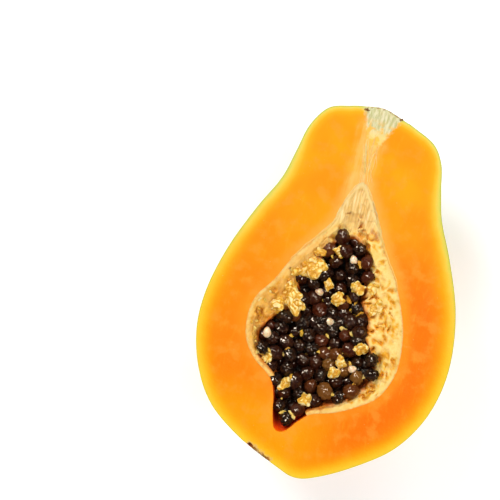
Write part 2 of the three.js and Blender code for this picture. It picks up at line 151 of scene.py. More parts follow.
def distance_to(line, points):
    """How far each point lies from a closed line, seen from above."""
    fine = loop_at(line, np.linspace(0, 1, 4000, endpoint=False))
    tree = kdtree.KDTree(len(fine))
    for i, (x, y) in enumerate(fine):
        tree.insert((x, y, 0), i)
    tree.balance()
    return np.array([tree.find((x, y, 0))[2] for x, y in np.asarray(points)[:, :2]])


print("outline", len(OUTLINE), "points, cavity rim", len(CAVITY_RIM), "points")

# %% [markdown]
# ## Meshes from rows of points
#
# Most of this fruit is made of rows of points with faces between them. The rows of one surface end
# where the next one's begin, so doubles are merged, which also closes the poles where a row has
# shrunk to a point. Then the faces are turned outwards, and the edges that a knife left are kept
# sharp. The printed volume must be positive, and no edge may be left open.

# %% A mesh helper
DOUBLES_WITHIN, CUT_EDGE_ANGLE = 0.004, 50


def sheet(rows, closed=False):
    """The faces between rows of points, as (points, faces)."""
    rows = np.asarray(rows, float)
    count, across = rows.shape[:2]
    faces = []
    for i in range(count - 1):
        for j in range(across if closed else across - 1):
            k = (j + 1) % across
            faces.append((i * across + j, i * across + k, (i + 1) * across + k, (i + 1) * across + j))
    return rows.reshape(-1, 3), faces


def show_shape(name, shape):
    """Shows an edited shape as a piece with rounded faces, and lets go of it."""
    for face in shape.faces:
        face.smooth = True
    mesh = bpy.data.meshes.new(name)
    shape.to_mesh(mesh)
    shape.free()
    return show(name, mesh)


def mesh_of(name, sheets):
    """One object from several sheets, each with its own material index, with doubles merged."""
    shape = bmesh.new()
    for index, (points, faces) in enumerate(sheets):
        corners = [shape.verts.new(Vector(point) * MM) for point in points]
        for face in faces:
            shape.faces.new([corners[i] for i in face]).material_index = index
    bmesh.ops.remove_doubles(shape, verts=shape.verts, dist=DOUBLES_WITHIN * MM)
    bmesh.ops.dissolve_degenerate(shape, edges=shape.edges, dist=1e-7)
    bmesh.ops.recalc_face_normals(shape, faces=shape.faces)
    volume = shape.calc_volume(signed=True) / MM**3 / 1000
    open_edges = sum(not edge.is_manifold for edge in shape.edges)
    piece = show_shape(name, shape)
    piece.data.set_sharp_from_angle(angle=math.radians(CUT_EDGE_ANGLE))
    print(name, len(piece.data.polygons), "faces,", open_edges, "open edges,", round(volume, 1), "cm3")
    return piece


def points_of(piece):
    """A piece's points in millimetres."""
    flat = np.empty(3 * len(piece.data.vertices))
    piece.data.vertices.foreach_get("co", flat)
    return flat.reshape(-1, 3) / MM


def move_points(piece, points):
    piece.data.vertices.foreach_set("co", (np.asarray(points) * MM).ravel())
    piece.data.update()


def normals_of(piece):
    return np.array([vertex.normal for vertex in piece.data.vertices])


def note(piece, **notes):
    """Writes a number for each point, or one for all, which trees and materials read by its name."""
    for name, values in notes.items():
        layer = piece.data.attributes.new(name, "FLOAT", "POINT")
        layer.data.foreach_set("value", np.full(len(piece.data.vertices), values, np.float32))


def waves(points, size, seed=0):
    """Gentle noise from -1 to 1, with lumps of about the given size."""
    shift = Vector((17.3, 5.1, 9.7)) * (seed + 1)
    return np.array([noise.noise(Vector(point) / size + shift) for point in points])


def warp(point, size, amount):
    return noise.noise_vector(Vector(point) / size) * amount


def inside_cells(places):
    """0 on the borders between Voronoi cells of size 1, and more towards the middle of each."""
    nearest = (noise.voronoi(place)[0] for place in places)
    return np.array([second - first for first, second, *_ in nearest])


# %% [markdown]
# ## Skin and flesh
#
# The half fruit grew as one thing, so it is one closed mesh: the skin under it, the flat cut face, and
# the wall of the cavity. A sculpted blob would be quicker, but the skin has a rule. At each station
# along the axis it is a half circle between the two sides of the outline, pressed in a little by the
# ribs of the five carpels, which show most at the neck. The cut face is drawn as rings that change
# from the outline to the cavity's rim, close together at both, where the colour changes fastest.

# %% The skin's rule
ROUNDNESS_BLOSSOM, ROUNDNESS_BELLY, ROUNDNESS_NECK = 0.955, 1.045, 0.98
RIBS, RIB_DEPTH_NECK, RIB_DEPTH_BELLY, NECK_Y, NECK_REACH = 5, 0.042, 0.006, 56, 30
STATIONS, MERIDIANS, CROWDED_ENDS = 190, 84, 0.35


def skin_rows(stations, turns):
    right, left = loop_at(OUTLINE, stations / 2), loop_at(OUTLINE, 1 - stations / 2)
    middle, half = (right + left) / 2, (right - left) / 2
    y = middle[:, 1]
    nearness = np.clip(1 - np.abs(y - NECK_Y) / NECK_REACH, 0, 1)
    rib_depth = RIB_DEPTH_BELLY + (RIB_DEPTH_NECK - RIB_DEPTH_BELLY) * smooth(0, 1, nearness)
    rib = 1 - rib_depth[:, None] * np.sin(RIBS * turns)
    towards_belly = (ROUNDNESS_BELLY - ROUNDNESS_BLOSSOM) * smooth(-30, 18, y)
    towards_neck = (ROUNDNESS_BELLY - ROUNDNESS_NECK) * smooth(15, 60, y)
    roundness = ROUNDNESS_BLOSSOM + towards_belly - towards_neck
    back = (np.hypot(*half.T) * roundness)[:, None] * np.sin(turns) * rib
    across = half[:, None, :] * (np.cos(turns) * rib)[:, :, None]
    height = np.maximum(0, CUT_HEIGHT - back)
    return np.dstack([middle[:, None, :] + across, height])


steps = np.arange(STATIONS + 1) / STATIONS
stations = (1 - np.cos(math.pi * steps)) / 2 * CROWDED_ENDS + steps * (1 - CROWDED_ENDS)
skin = skin_rows(stations, math.pi * np.arange(MERIDIANS + 1) / MERIDIANS)
skin[[0, -1], :, 2] = CUT_HEIGHT
edge = np.concatenate([skin[:, 0], skin[-2:0:-1, -1]])
print("skin", skin.shape[0], "rows; edge of the cut face", len(edge), "points")

# %% [markdown]
# ## The cavity
#
# Seen from the cavity's centre, every line round it is met once in each direction, so the cavity can be
# made of bearings, like the spokes of a wheel. Each spoke crosses the rim, the pulp's lip and the edge
# of the seed bed. The flesh wall falls away steeply at the rim, is a shelf as far as the bed, and is a
# deep bowl below the seeds.

# %% Spokes from the cavity's centre
CAVITY_SHELF, CAVITY_DEPTH = 8, 30
PULP_SHELF, PULP_DEPTH = 3.6, 26.5
BED_MARGIN, GAP = 1.6, 0.35
FACE_RINGS, WALL_RINGS, CROWDED_RINGS = 34, 15, 0.8

spokes = edge[:, :2] - CAVITY_CENTRE
bearings = np.arctan2(spokes[:, 1], spokes[:, 0])
ways = np.column_stack([np.cos(bearings), np.sin(bearings)])


def reach(line, angles):
    """How far a smooth closed line is from the centre, in each direction."""
    fine = loop_at(line, np.linspace(0, 1, 6000, endpoint=False)) - CAVITY_CENTRE
    return np.interp(angles, np.arctan2(fine[:, 1], fine[:, 0]), np.hypot(*fine.T), period=FULL_TURN)


def bed_reach(angles):
    """How far the seed bed reaches: its farthest crossing, evened out a fifth of a radian each way."""
    corners = (np.array(BED_OUTLINE, float) - CAVITY_CENTRE) @ (1, 1j)
    found = []
    for turn in (-0.2, -0.1, 0, 0.1, 0.2):
        start = corners * np.exp(-1j * (angles + turn))[:, None]
        end = np.roll(start, -1, axis=1)
        crosses = (start.imag > 0) != (end.imag > 0)
        share = start.imag / np.where(crosses, start.imag - end.imag, 1)
        found.append(np.where(crosses, start.real + share * (end - start).real, 0).max(axis=1))
    return np.mean(found, axis=0) + BED_MARGIN


def on_spokes(radius):
    """The points at a radius on each spoke, seen from above."""
    return CAVITY_CENTRE + ways * radius[:, None]


def bowl_depth(radius, rim_radius, bed_radius, shelf=CAVITY_SHELF, depth=CAVITY_DEPTH):
    """Depth below the cut face at a radius on each spoke."""
    ring = np.clip((rim_radius - radius) / (rim_radius - bed_radius), 0, 1)
    inner = np.clip(radius / bed_radius, 0, 1)
    below = (depth - shelf) * (1 - inner**2) ** 0.7
    return shelf * (1 - (1 - ring) ** 2) + np.where(radius < bed_radius, below, 0)


def ring_radii(outer, inner, shares, to_centre):
    """Radii from an outer line to an inner one, and on from there to the centre."""
    return [outer + (inner - outer) * share for share in shares] + [inner * share for share in to_centre]


def spoke_rows(radii, depths):
    """Rows of points, outermost first, from radii and depths on each spoke."""
    return np.array([np.column_stack([on_spokes(radius), CUT_HEIGHT - depth])
                     for radius, depth in zip(radii, depths)])


rim = reach(CAVITY_RIM, bearings)
lip = np.minimum(reach(PULP_LIP, bearings), rim - 0.8)
bed = bed_reach(bearings)
print("rim", round(rim.min(), 1), "to", round(rim.max(), 1), "mm from the cavity's centre")

# %% The half fruit's mesh
flesh_bed = np.minimum(bed, rim - 3)
shares = np.linspace(0, 1, FACE_RINGS + 1)
shares = shares - CROWDED_RINGS * np.sin(FULL_TURN * shares) / FULL_TURN
rim_points = np.column_stack([on_spokes(rim), np.full(len(rim), CUT_HEIGHT)])
face_rows = [edge + (rim_points - edge) * share for share in shares]
radii = ring_radii(rim, flesh_bed, np.linspace(0, 1, WALL_RINGS), (0.92, 0.8, 0.6, 0.35, 0))
wall_rows = spoke_rows(radii, [bowl_depth(radius, rim, flesh_bed) for radius in radii])

half_fruit = mesh_of("half_fruit", [
    sheet(skin),
    sheet(face_rows, closed=True),
    sheet(wall_rows, closed=True),
])

# %% [markdown]
# ### Relief of the skin and the cut face
#
# A real papaya isn't as smooth as its rule. The skin has shallow dents and is pitted by scars, the
# blossom end has a dry crater, the stalk end has a corky ring where the fruit was snapped off, and a
# knife leaves slight waves. Points are moved inwards only, so that the half stays in its own size,
# and the flat spot that it lies on isn't touched. What moved is also noted for the materials.

# %% Relief
BLOSSOM_SCAR = np.array((-15.6, -77.9, CUT_HEIGHT - 1.5))
BLOSSOM_SCAR_RADIUS, RAGGED = 7.6, 1.6
INTO_FRUIT = np.array((0.3, 0.95, 0))
STALK_RADIUS = 9.3
STALK_FOOT_Y = 79.5
NO_STALK = 9


def points_on(piece, index):
    """Which points belong to faces of one material."""
    found = np.zeros(len(piece.data.vertices), bool)
    for polygon in piece.data.polygons:
        if polygon.material_index == index:
            found[list(polygon.vertices)] = True
    return found


def scar_at(points):
    """1 inside the dry crater of the blossom end, 0 outside it, with a ragged edge."""
    away = np.linalg.norm(points - BLOSSOM_SCAR, axis=1) + RAGGED * waves(points, 2.6, 3)
    return 1 - smooth(BLOSSOM_SCAR_RADIUS - 1.4, BLOSSOM_SCAR_RADIUS, away)


points, outward = points_of(half_fruit), normals_of(half_fruit)
on_skin, on_face, on_wall = (points_on(half_fruit, index) for index in range(3))
edge_points = on_skin & on_face
skin_points = on_skin & ~edge_points
face_points = on_face & ~edge_points & ~on_wall
from_skin = np.where(skin_points, 0, distance_to(OUTLINE, points))
from_cavity = distance_to(CAVITY_RIM, points)
scar = scar_at(points)
stalk = np.hypot(points[:, 0], points[:, 2] - CUT_HEIGHT) / STALK_RADIUS
stalk = np.where(points[:, 1] > STALK_FOOT_Y, stalk, NO_STALK)

dents = 0.2 + 0.2 * waves(points, 13) + 0.06 * waves(points, 3, 1)
crater = scar * (0.9 + 0.7 * waves(points, 1.5, 4))
corky_ring = np.exp(-((stalk - 1.05) / 0.1) ** 2) * (0.7 + 0.5 * waves(points, 2, 5))
corky_middle = (1 - smooth(0.8, 1, stalk)) * (0.5 + 0.5 * waves(points, 1.3, 6))
inwards = (dents + crater + corky_ring + corky_middle) * smooth(0.5, 5, points[:, 2]) * skin_points
knife_waves = (0.05 + 0.05 * waves(points, 7, 2)) * smooth(0, 2, from_skin) * face_points
points = points - outward * inwards[:, None]
points[:, 2] -= knife_waves
points += INTO_FRUIT * (edge_points * scar * (0.7 + 0.8 * waves(points, 1.5, 4)))[:, None]
points[:, 2] = np.maximum(points[:, 2], 0)
move_points(half_fruit, points)
note(half_fruit, from_skin=from_skin, from_cavity=from_cavity, scar=scar, stalk=np.minimum(stalk, 2))
print("skin moved inwards by at most", round(inwards.max(), 2), "mm")

# %% [markdown]
# ## Pulp lining
#
# A spoonful of pale spongy tissue lines the cavity and holds the seeds. Cut across, it is a cream band
# round the rim; inside, it is folded like honeycomb. It could be sculpted, or displaced by a texture in
# a modifier, but then its colours couldn't know its folds. So its height is worked out in code: a
# Voronoi pattern, stretched along the spokes and warped, gives the walls between the pits, and how
# high each point stands is noted for the material, which paints shade into the pits and lighter walls
# between them. The lining is a closed shell on the flesh wall.

# %% The lining's folds
LINING_RINGS = 46
FOLD_WIDTH, FOLD_LENGTH, FOLD_HEIGHT = 4.2, 5.4, 2.6
MEAN_REACH = 24
THINNEST, SEAM, FOOT_BELOW_BED = 0.5, 0.03, 3.5


def fold_walls(bearing, radius, points):
    """1 on the walls between the pits of the lining, 0 at the bottom of a pit."""
    return 1 - smooth(0.05, 0.68, inside_cells(
        Vector((angle * MEAN_REACH / FOLD_WIDTH, away / FOLD_LENGTH, 3.3))
        + warp(point, 4.2, 0.8) + warp(point, 1.6, 0.12)
        for angle, away, point in zip(bearing, radius, points)))


lining_rim, under_bed = rim - SEAM, flesh_bed - GAP
lining_bed = np.minimum(bed, lip - 0.5)
foot = lining_bed - FOOT_BELOW_BED
radii = ring_radii(lining_rim, foot, np.linspace(0, 1, LINING_RINGS), (0.85, 0.6, 0.3, 0))
top_depths = []
for radius in radii:
    on_rim = smooth(lip - 0.2, lip + 0.8, radius)
    depth = bowl_depth(radius, lip, lining_bed, PULP_SHELF, PULP_DEPTH)
    places = np.column_stack([on_spokes(radius), depth])
    walls = fold_walls(bearings, radius, places)
    smoother_side = 1 - 0.3 * smooth(2, -8, places[:, 0] + 0.25 * places[:, 1])
    height = FOLD_HEIGHT * smoother_side * (walls - 0.55) + 0.3 * waves(places, 0.9, 7)
    height = height * (1 - 0.6 * on_rim) * smooth(0, 1, lining_rim - radius)
    lowest = bowl_depth(radius, lining_rim, under_bed) - GAP - THINNEST
    top_depths.append(np.minimum(np.maximum(depth - height, 0), np.maximum(lowest, 0)))
top_rows = spoke_rows(radii, top_depths)
radii = ring_radii(lining_rim, under_bed, (0, 0.1, 0.25, 0.5, 0.8, 1), (0.9, 0.7, 0.35, 0))
under_rows = spoke_rows(radii, [np.where(radius < lining_rim,
                                         bowl_depth(radius, lining_rim, under_bed) - GAP, 0)
                                for radius in radii])
top_rows[-1] = (*CAVITY_CENTRE, CUT_HEIGHT - PULP_DEPTH)
under_rows[-1] = (*CAVITY_CENTRE, CUT_HEIGHT - CAVITY_DEPTH + GAP)
pulp_lining = mesh_of("pulp_lining", [sheet(top_rows, closed=True), sheet(under_rows, closed=True)])

# %% [markdown]
# ### The bare tongue, and what the material needs to know
#
# At the blossom end the cavity runs out in a narrow tongue where the lining has torn away and the flesh
# shows. A Boolean cuts the tongue out of the lining in one step, and leaves a clean closed edge. The
# notes are written after it, because a Boolean makes new points.

# %% Cut the tongue and note the folds
BARE_TONGUE = [(-22, -45.5), (-16, -42.5), (-9, -49), (-1.5, -53.5), (2, -58), (-4, -72), (-16, -72),
               (-20, -52)]
TONGUE_MIDDLE, TONGUE_LOW, TONGUE_HIGH = (-10, -57), -40, 10
TORN_EDGE_ANGLE, FIBRES = 80, 60


def keep_result(piece):
    """Makes the result of a piece's modifier its plain mesh, and takes the modifier away."""
    evaluated = piece.evaluated_get(bpy.context.evaluated_depsgraph_get())
    result = bpy.data.meshes.new_from_object(evaluated)
    piece.modifiers.clear()
    old, piece.data = piece.data, result
    bpy.data.meshes.remove(old)
    result.name = piece.name


def reshape(piece, kind, **settings):
    """Runs one modifier on a piece."""
    modifier = piece.modifiers.new(kind.lower(), kind)
    for name, value in settings.items():
        setattr(modifier, name, value)
    keep_result(piece)


low_row, high_row = ([(x, y, CUT_HEIGHT + z) for x, y in BARE_TONGUE] for z in (TONGUE_LOW, TONGUE_HIGH))
low_end, high_end = ([(*TONGUE_MIDDLE, row[0][2])] * len(row) for row in (low_row, high_row))
tongue = mesh_of("tongue", [sheet([low_end, low_row, high_row, high_end], closed=True)])
reshape(pulp_lining, "BOOLEAN", object=tongue, operation="DIFFERENCE", solver="EXACT")
bpy.data.objects.remove(tongue)

points = points_of(pulp_lining)
spokes = points[:, :2] - CAVITY_CENTRE
bearing, away = np.arctan2(spokes[:, 1], spokes[:, 0]), np.hypot(*spokes.T)
rim_here, bed_here = (np.interp(bearing, bearings, line, period=FULL_TURN) for line in (rim, lining_bed))
places = np.column_stack([points[:, :2], CUT_HEIGHT - points[:, 2]])
# fold gives the material painted shade in the pits, and from_seeds gives painted shade next to the seeds.
note(pulp_lining, fold=fold_walls(bearing, away, places), from_rim=rim_here - away,
     from_seeds=away - bed_here, fibre=bearing * FIBRES)
for polygon in pulp_lining.data.polygons:
    polygon.use_smooth = True
    polygon.material_index = 0
pulp_lining.data.set_sharp_from_angle(angle=math.radians(TORN_EDGE_ANGLE))
print("pulp_lining", len(pulp_lining.data.polygons), "faces after the cut")

# %% [markdown]
# ## Nuggets of pulp
#
# Among the seeds stand lumps of the same tissue, folded like popcorn. Each is a heap of small flakes
# round a centre, with a root that goes down into the lining. A voxel remesh melts the heap into one
# skin, and moving its points along their normals by a Voronoi pattern folds it.

# %% Nuggets
NUGGETS = [
    (-13.8, 8.4, 4.5, 0.8), (-21.4, 4.2, 1.9, 0.9), (-20.8, -2.8, 2.3, 1), (-19.4, -7.2, 3.2, 1.2),
    (-16.4, -10.4, 3, 1.8), (-26, -13, 3, 1.5), (-4.4, 18.4, 1.9, 2.2), (-11.6, 16, 2.4, 1.1),
    (0.8, -2.8, 2.3, 4.6), (8.3, 3.9, 2.4, 2.2), (-4.5, 2.3, 1.8, 3.2), (-12.4, -45.8, 2.6, 2.4),
    (8, -35.6, 2.4, 2.8), (10, -30.4, 2.2, 3.6), (17.4, -22, 2.8, 2), (-23.8, -35.4, 2.5, 1.2),
    (-0.8, -50.8, 2.6, 1.4), (19.5, -2.5, 2.7, 1.9), (15.6, 6.6, 2.4, 1.6),
]
FLAKES, FLAKE, VOXEL = 7, (1.75, 0.85, 0.75), 0.36
NUGGET_SWELL, NUGGET_RISE = 1.25, 0.2
ROOT_DROPS, ROOT_WIDTH = (0.54, 1.08, 1.62, 2.16), 0.5
CREASE_SPACING, CREASE_DEPTH, LUMP_HEIGHT = 3.1, 0.16, 0.2
dice = np.random.default_rng(11)
shape = bmesh.new()


def add_ball(shape, centre, radius, squash=(1, 1, 1), turn=(0, 0, 0), facets=2, taper=0):
    """Adds a ball that is squashed, made narrower at one end by the taper, and then turned."""
    turned = Euler(turn).to_matrix()
    radius *= MM
    for corner in bmesh.ops.create_icosphere(shape, subdivisions=facets, radius=radius)["verts"]:
        narrowed = squash[1] - taper * corner.co.x / radius
        corner.co = turned @ (corner.co * Vector((squash[0], narrowed, squash[2]))) + Vector(centre) * MM


for x, y, radius, top in NUGGETS:
    radius, top = radius * NUGGET_SWELL, top * NUGGET_RISE
    head = CUT_HEIGHT - top - 0.75 * radius
    add_ball(shape, (x, y, head), 0.6 * radius)
    for _ in range(FLAKES):
        turn, lean, size = dice.uniform(0, FULL_TURN), dice.uniform(-0.5, 0.9), dice.uniform(0.42, 0.74)
        side = math.sqrt(1 - lean * lean)
        offset = np.array((math.cos(turn) * side, 0.85 * math.sin(turn) * side, 0.6 * lean)) * 0.62 * radius
        centre = np.array((x, y, head)) + offset
        centre[2] = min(centre[2], CUT_HEIGHT - top - size * radius)
        add_ball(shape, centre, size * radius, FLAKE, dice.uniform(0, 3, 3))
    for drop in ROOT_DROPS:
        add_ball(shape, (x, y, head - drop * radius), ROOT_WIDTH * radius)
pulp_nuggets = show_shape("pulp_nuggets", shape)
reshape(pulp_nuggets, "REMESH", mode="VOXEL", voxel_size=VOXEL * MM, use_smooth_shade=True)
reshape(pulp_nuggets, "SMOOTH", factor=0.6, iterations=7)
points, outward = points_of(pulp_nuggets), normals_of(pulp_nuggets)
creases = inside_cells(Vector(point) / CREASE_SPACING + warp(point, 2.6, 0.8) for point in points)
creases = smooth(0, 0.4, creases)
lifted = CREASE_DEPTH * (creases - 0.75) + LUMP_HEIGHT * waves(points, 2.4, 8)
points = points + outward * lifted[:, None]
points[:, 2] = np.minimum(points[:, 2], CUT_HEIGHT)
move_points(pulp_nuggets, points)
# The creases are noted as fold, so that the material paints shade into them.
note(pulp_nuggets, fold=creases)
print("pulp_nuggets", len(NUGGETS), "lumps,", len(pulp_nuggets.data.polygons), "faces")

# %% [markdown]
# ## Where the seeds lie
#
# The seeds aren't strewn at random: each leans on its neighbours. So places are drawn with a fixed
# seed, and then push each other apart for a while, and off the nuggets, until they have settled. This
# is the rule of the solid seed bed too, with the same random numbers, so the finer seeds lie exactly
# where the solid ones do.

# %% Settle the seeds
PALE_SEEDS = [(-25.8, -25.3, 2.4), (-7.4, -1.7, 2.1), (0.4, -13.6, 2.2), (3.6, 16.1, 2.2),
              (15.8, -31.6, 2)]
SEED_COUNT, SEED_SPACING, SEED_SPREAD = 78, 6.6, 1.6
STREWN_LEFT, STREWN_WIDTH, STREWN_LOW, STREWN_LENGTH = -30, 60, -68, 98
SETTLING_ROUNDS, NUGGET_CLEARANCE, PUSH, PULL, PULLS = 150, 1.2, 0.45, 0.08, 8
BED_CENTRE, BED_HALF_WIDTH, BED_HALF_LENGTH = (-2, -18), 24, 42
BED_EDGE_DEPTH, BED_MIDDLE_DEPTH = 1.6, 9.5
SEED_RADIUS = 3.2


def draws(seed):
    """A repeatable stream of numbers from 0 to 1."""
    state = seed
    while True:
        state = (state * 1664525 + 1013904223) % 4294967296
        yield state / 4294967296


def bed_depth(x, y):
    out = ((x - BED_CENTRE[0]) / BED_HALF_WIDTH) ** 2 + ((y - BED_CENTRE[1]) / BED_HALF_LENGTH) ** 2
    return BED_EDGE_DEPTH + (BED_MIDDLE_DEPTH - BED_EDGE_DEPTH) * max(0, 1 - out)


def inside_bed(x, y):
    within = False
    for (ax, ay), (bx, by) in zip(BED_OUTLINE, BED_OUTLINE[1:] + BED_OUTLINE[:1]):
        if (ay > y) != (by > y) and x < (bx - ax) * (y - ay) / (by - ay) + ax:
            within = not within
    return within


def push(place, x, y, clear, share):
    """Pushes a place away from another, by a share of what they are too close."""
    dx, dy = place[0] - x, place[1] - y
    away = math.hypot(dx, dy) + 1e-6
    if away < clear:
        place[0] += dx / away * (clear - away) * share
        place[1] += dy / away * (clear - away) * share


def settled_seeds():
    draw = draws(20)
    seeds = []
    while len(seeds) < SEED_COUNT:
        x, y, up = (next(draw) for _ in range(3))
        place = [STREWN_LEFT + STREWN_WIDTH * x, STREWN_LOW + STREWN_LENGTH * y, SEED_SPREAD * (2 * up - 1)]
        if inside_bed(*place[:2]):
            seeds.append(place)
    for _ in range(SETTLING_ROUNDS):
        for seed in seeds:
            for other in seeds:
                if seed is not other:
                    push(seed, other[0], other[1], SEED_SPACING, PUSH)
            for x, y, radius, *_ in NUGGETS + PALE_SEEDS:
                push(seed, x, y, radius + NUGGET_CLEARANCE, 1)
            for _ in range(PULLS):
                if not inside_bed(*seed[:2]):
                    seed[0] += PULL * (BED_CENTRE[0] - seed[0])
                    seed[1] += PULL * (BED_CENTRE[1] - seed[1])
    return [(x, y, CUT_HEIGHT - bed_depth(x, y) + up) for x, y, up in seeds]


seed_places = np.array(settled_seeds())
print(len(seed_places), "seeds, from", seed_places.min(0).round(1), "to", seed_places.max(0).round(1))

# %% [markdown]
# ## Seeds from a node tree
#
# A papaya seed is a dark wrinkled grain in a skin of clear gel. There are many, so Geometry Nodes set
# an instance on each settled place, turn it by a seeded random rotation, and only then raise the
# wrinkles, from the place in space, so that no two seeds come out alike. A second layer fills the gaps
# from below. The tree ends in real faces with their material, because an export would drop instances.
#
# Trees are long to write node by node. Here an output of a node is wrapped, so that a formula can be
# written as a formula: every minus sign or product in it becomes a Math node.

# %% Helpers for node trees
def paint(hex_code):
    """A screen colour in linear light."""
    channels = [int(hex_code[i:i + 2], 16) / 255 for i in (1, 3, 5)]
    linear = [level / 12.92 if level <= 0.04045 else ((level + 0.055) / 1.055) ** 2.4 for level in channels]
    return (*linear, 1.0)


class Output:
    """An output of a node in a tree, which can be reckoned with like a number."""

    def __init__(self, nodes, socket):
        self.nodes, self.socket = nodes, socket

    def calculate(self, operation, other=0.0, swapped=False):
        first, second = (other, self) if swapped else (self, other)
        return self.nodes.add("ShaderNodeMath", 0, {0: first, 1: second}, operation=operation)

    def __add__(self, other):
        return self.calculate("ADD", other)

    def __sub__(self, other):
        return self.calculate("SUBTRACT", other)

    def __rsub__(self, other):
        return self.calculate("SUBTRACT", other, swapped=True)

    def __mul__(self, other):
        return self.calculate("MULTIPLY", other)

    def __truediv__(self, other):
        return self.calculate("DIVIDE", other)

    def __rtruediv__(self, other):
        return self.calculate("DIVIDE", other, swapped=True)

    def between(self, low, high, to_low=0.0, to_high=1.0, kind="SMOOTHSTEP"):
        """Goes from to_low to to_high while this output goes from low to high."""
        return self.nodes.add("ShaderNodeMapRange", "Result", {
            "Value": self, "From Min": low, "From Max": high, "To Min": to_low, "To Max": to_high,
        }, interpolation_type=kind)

    def stops(self, *colours):
        """A colour ramp: pairs of a place from 0 to 1 and a colour."""
        made = self.nodes.add("ShaderNodeValToRGB", "Color", {"Fac": self})
        ramp = made.socket.node.color_ramp
        while len(ramp.elements) < len(colours):
            ramp.elements.new(0.5)
        for element, (place, colour) in zip(ramp.elements, colours):
            element.position, element.color = place, paint(colour)
        return made


class Nodes:
    """A tree to add nodes to. An input takes a value, a "#" colour, or an output to link from."""

    def __init__(self, tree):
        self.tree = tree

    def feed(self, socket, value):
        if isinstance(value, Output):
            self.tree.links.new(value.socket, socket)
        elif isinstance(value, str) and value.startswith("#"):
            socket.default_value = paint(value)
        else:
            socket.default_value = value

    def add(self, kind, output, inputs=None, **settings):
        """A new node, of which one output is given, or all of them for None."""
        made = self.tree.nodes.new(kind)
        for name, value in settings.items():
            setattr(made, name, value)
        for name, value in (inputs or {}).items():
            self.feed(made.inputs[name], value)
        if output is None:
            return [Output(self, socket) for socket in made.outputs]
        return Output(self, made.outputs[output])

    def named(self, name):
        return self.add("GeometryNodeInputNamedAttribute", "Attribute", {"Name": name}, data_type="FLOAT")

    def vector(self, operation, first, second, to=1):
        return self.add("ShaderNodeVectorMath", "Vector", {0: first, to: second}, operation=operation)

    def noise(self, output, place, scale, detail, **inputs):
        return self.add("ShaderNodeTexNoise", output, {"Vector": place, "Scale": scale, "Detail": detail,
                                                       **inputs})

    def through(self, kind, geometry, inputs=None, **settings):
        """Sends a geometry through a node, in by the first input and out by the first output."""
        return self.add(kind, 0, {0: geometry, **(inputs or {})}, **settings)

    def end(self, geometry, material, result):
        """Every Geometry Nodes tree ends alike: rounded, coloured and with no instances left."""
        geometry = self.through("GeometryNodeSetShadeSmooth", geometry)
        geometry = self.through("GeometryNodeSetMaterial", geometry, {"Material": material})
        self.feed(result, self.through("GeometryNodeRealizeInstances", geometry))


GEOMETRY, MATERIAL, FLOAT, VECTOR = ("NodeSocket" + kind for kind in (
    "Geometry", "Material", "Float", "Vector"))
KINDS = {int: "NodeSocketInt", float: FLOAT, tuple: VECTOR}


def new_tree(name, kind, inputs, outputs):
    """A node group with named sockets. Each has a default, or else the type of the socket."""
    tree = bpy.data.node_groups.new(name, kind)
    for label, default in inputs.items():
        socket = KINDS.get(type(default), default)
        made = tree.interface.new_socket(label, in_out="INPUT", socket_type=socket)
        if socket != default:
            made.default_value = default
    for label, socket in outputs.items():
        tree.interface.new_socket(label, in_out="OUTPUT", socket_type=socket)
    nodes = Nodes(tree)
    given = {socket.name: Output(nodes, socket) for socket in tree.nodes.new("NodeGroupInput").outputs}
    return nodes, given, tree.nodes.new("NodeGroupOutput").inputs


def grow(piece, tree, **values):
    """Runs a Geometry Nodes tree on a piece and keeps the result as its plain mesh."""
    modifier = piece.modifiers.new(tree.name, "NODES")
    modifier.node_group = tree
    names = {item.name: item.identifier for item in tree.interface.items_tree
             if item.item_type == "SOCKET" and item.in_out == "INPUT"}
    for name, value in values.items():
        modifier[names[name.replace("_", " ")]] = value
    keep_result(piece)
    while piece.data.materials[0] is None:
        piece.data.materials.pop(index=0)
    print(piece.name, len(piece.data.polygons), "faces")
    return piece


# %% The seeds' tree
def seed_tree():
    nodes, given, result = new_tree("seeds_on_places", "GeometryNodeTree", {
        "Places": GEOMETRY, "Facets": 4, "Wrinkle height": 0.95 * MM, "Wrinkle size": 1.5 * MM,
        "Turns": 7, "Material": MATERIAL, "Shape": (0.95, 1.14, 0.95),
    }, {"Seeds": GEOMETRY})
    grain = nodes.add("GeometryNodeMeshIcoSphere", "Mesh", {"Radius": 1.0, "Subdivisions": given["Facets"]})
    grain = nodes.through("GeometryNodeTransform", grain, {"Scale": given["Shape"]})
    turn = nodes.add("FunctionNodeRandomValue", "Value", {"Max": [6.283] * 3, "Seed": given["Turns"]},
                     data_type="FLOAT_VECTOR")
    placed = nodes.through("GeometryNodeInstanceOnPoints", given["Places"], {
        "Instance": grain, "Rotation": turn, "Scale": nodes.named("size")})
    real = nodes.through("GeometryNodeRealizeInstances", placed)
    cells = nodes.add("ShaderNodeTexVoronoi", "Distance", {
        "Vector": nodes.add("GeometryNodeInputPosition", "Position"),
        "Scale": 1.0 / given["Wrinkle size"], "Smoothness": 0.35}, feature="SMOOTH_F1")
    height = (0.45 - cells) * given["Wrinkle height"] * nodes.named("wrinkled")
    offset = nodes.vector("SCALE", nodes.add("GeometryNodeInputNormal", "Normal"), height, to="Scale")
    moved = nodes.through("GeometryNodeSetPosition", real, {"Offset": offset})
    nodes.end(moved, given["Material"], result["Seeds"])
    return nodes.tree


SEED_TREE = seed_tree()
print("tree", SEED_TREE.name, len(SEED_TREE.nodes), "nodes")

# %% [markdown]
# ## Materials
#
# All patterns are made by nodes from the place on the object, so nothing depends on an image. Two small
# shader groups are shared: one for the wet film that lies on everything inside the fruit, and one for
# dots, which are pores in the skin and specks in the flesh. Colours are written as a painter would
# mix them, on the screen's scale, and turned into linear light. A surface starts with one colour, and
# others are laid over it like washes, each as strong as its mask.

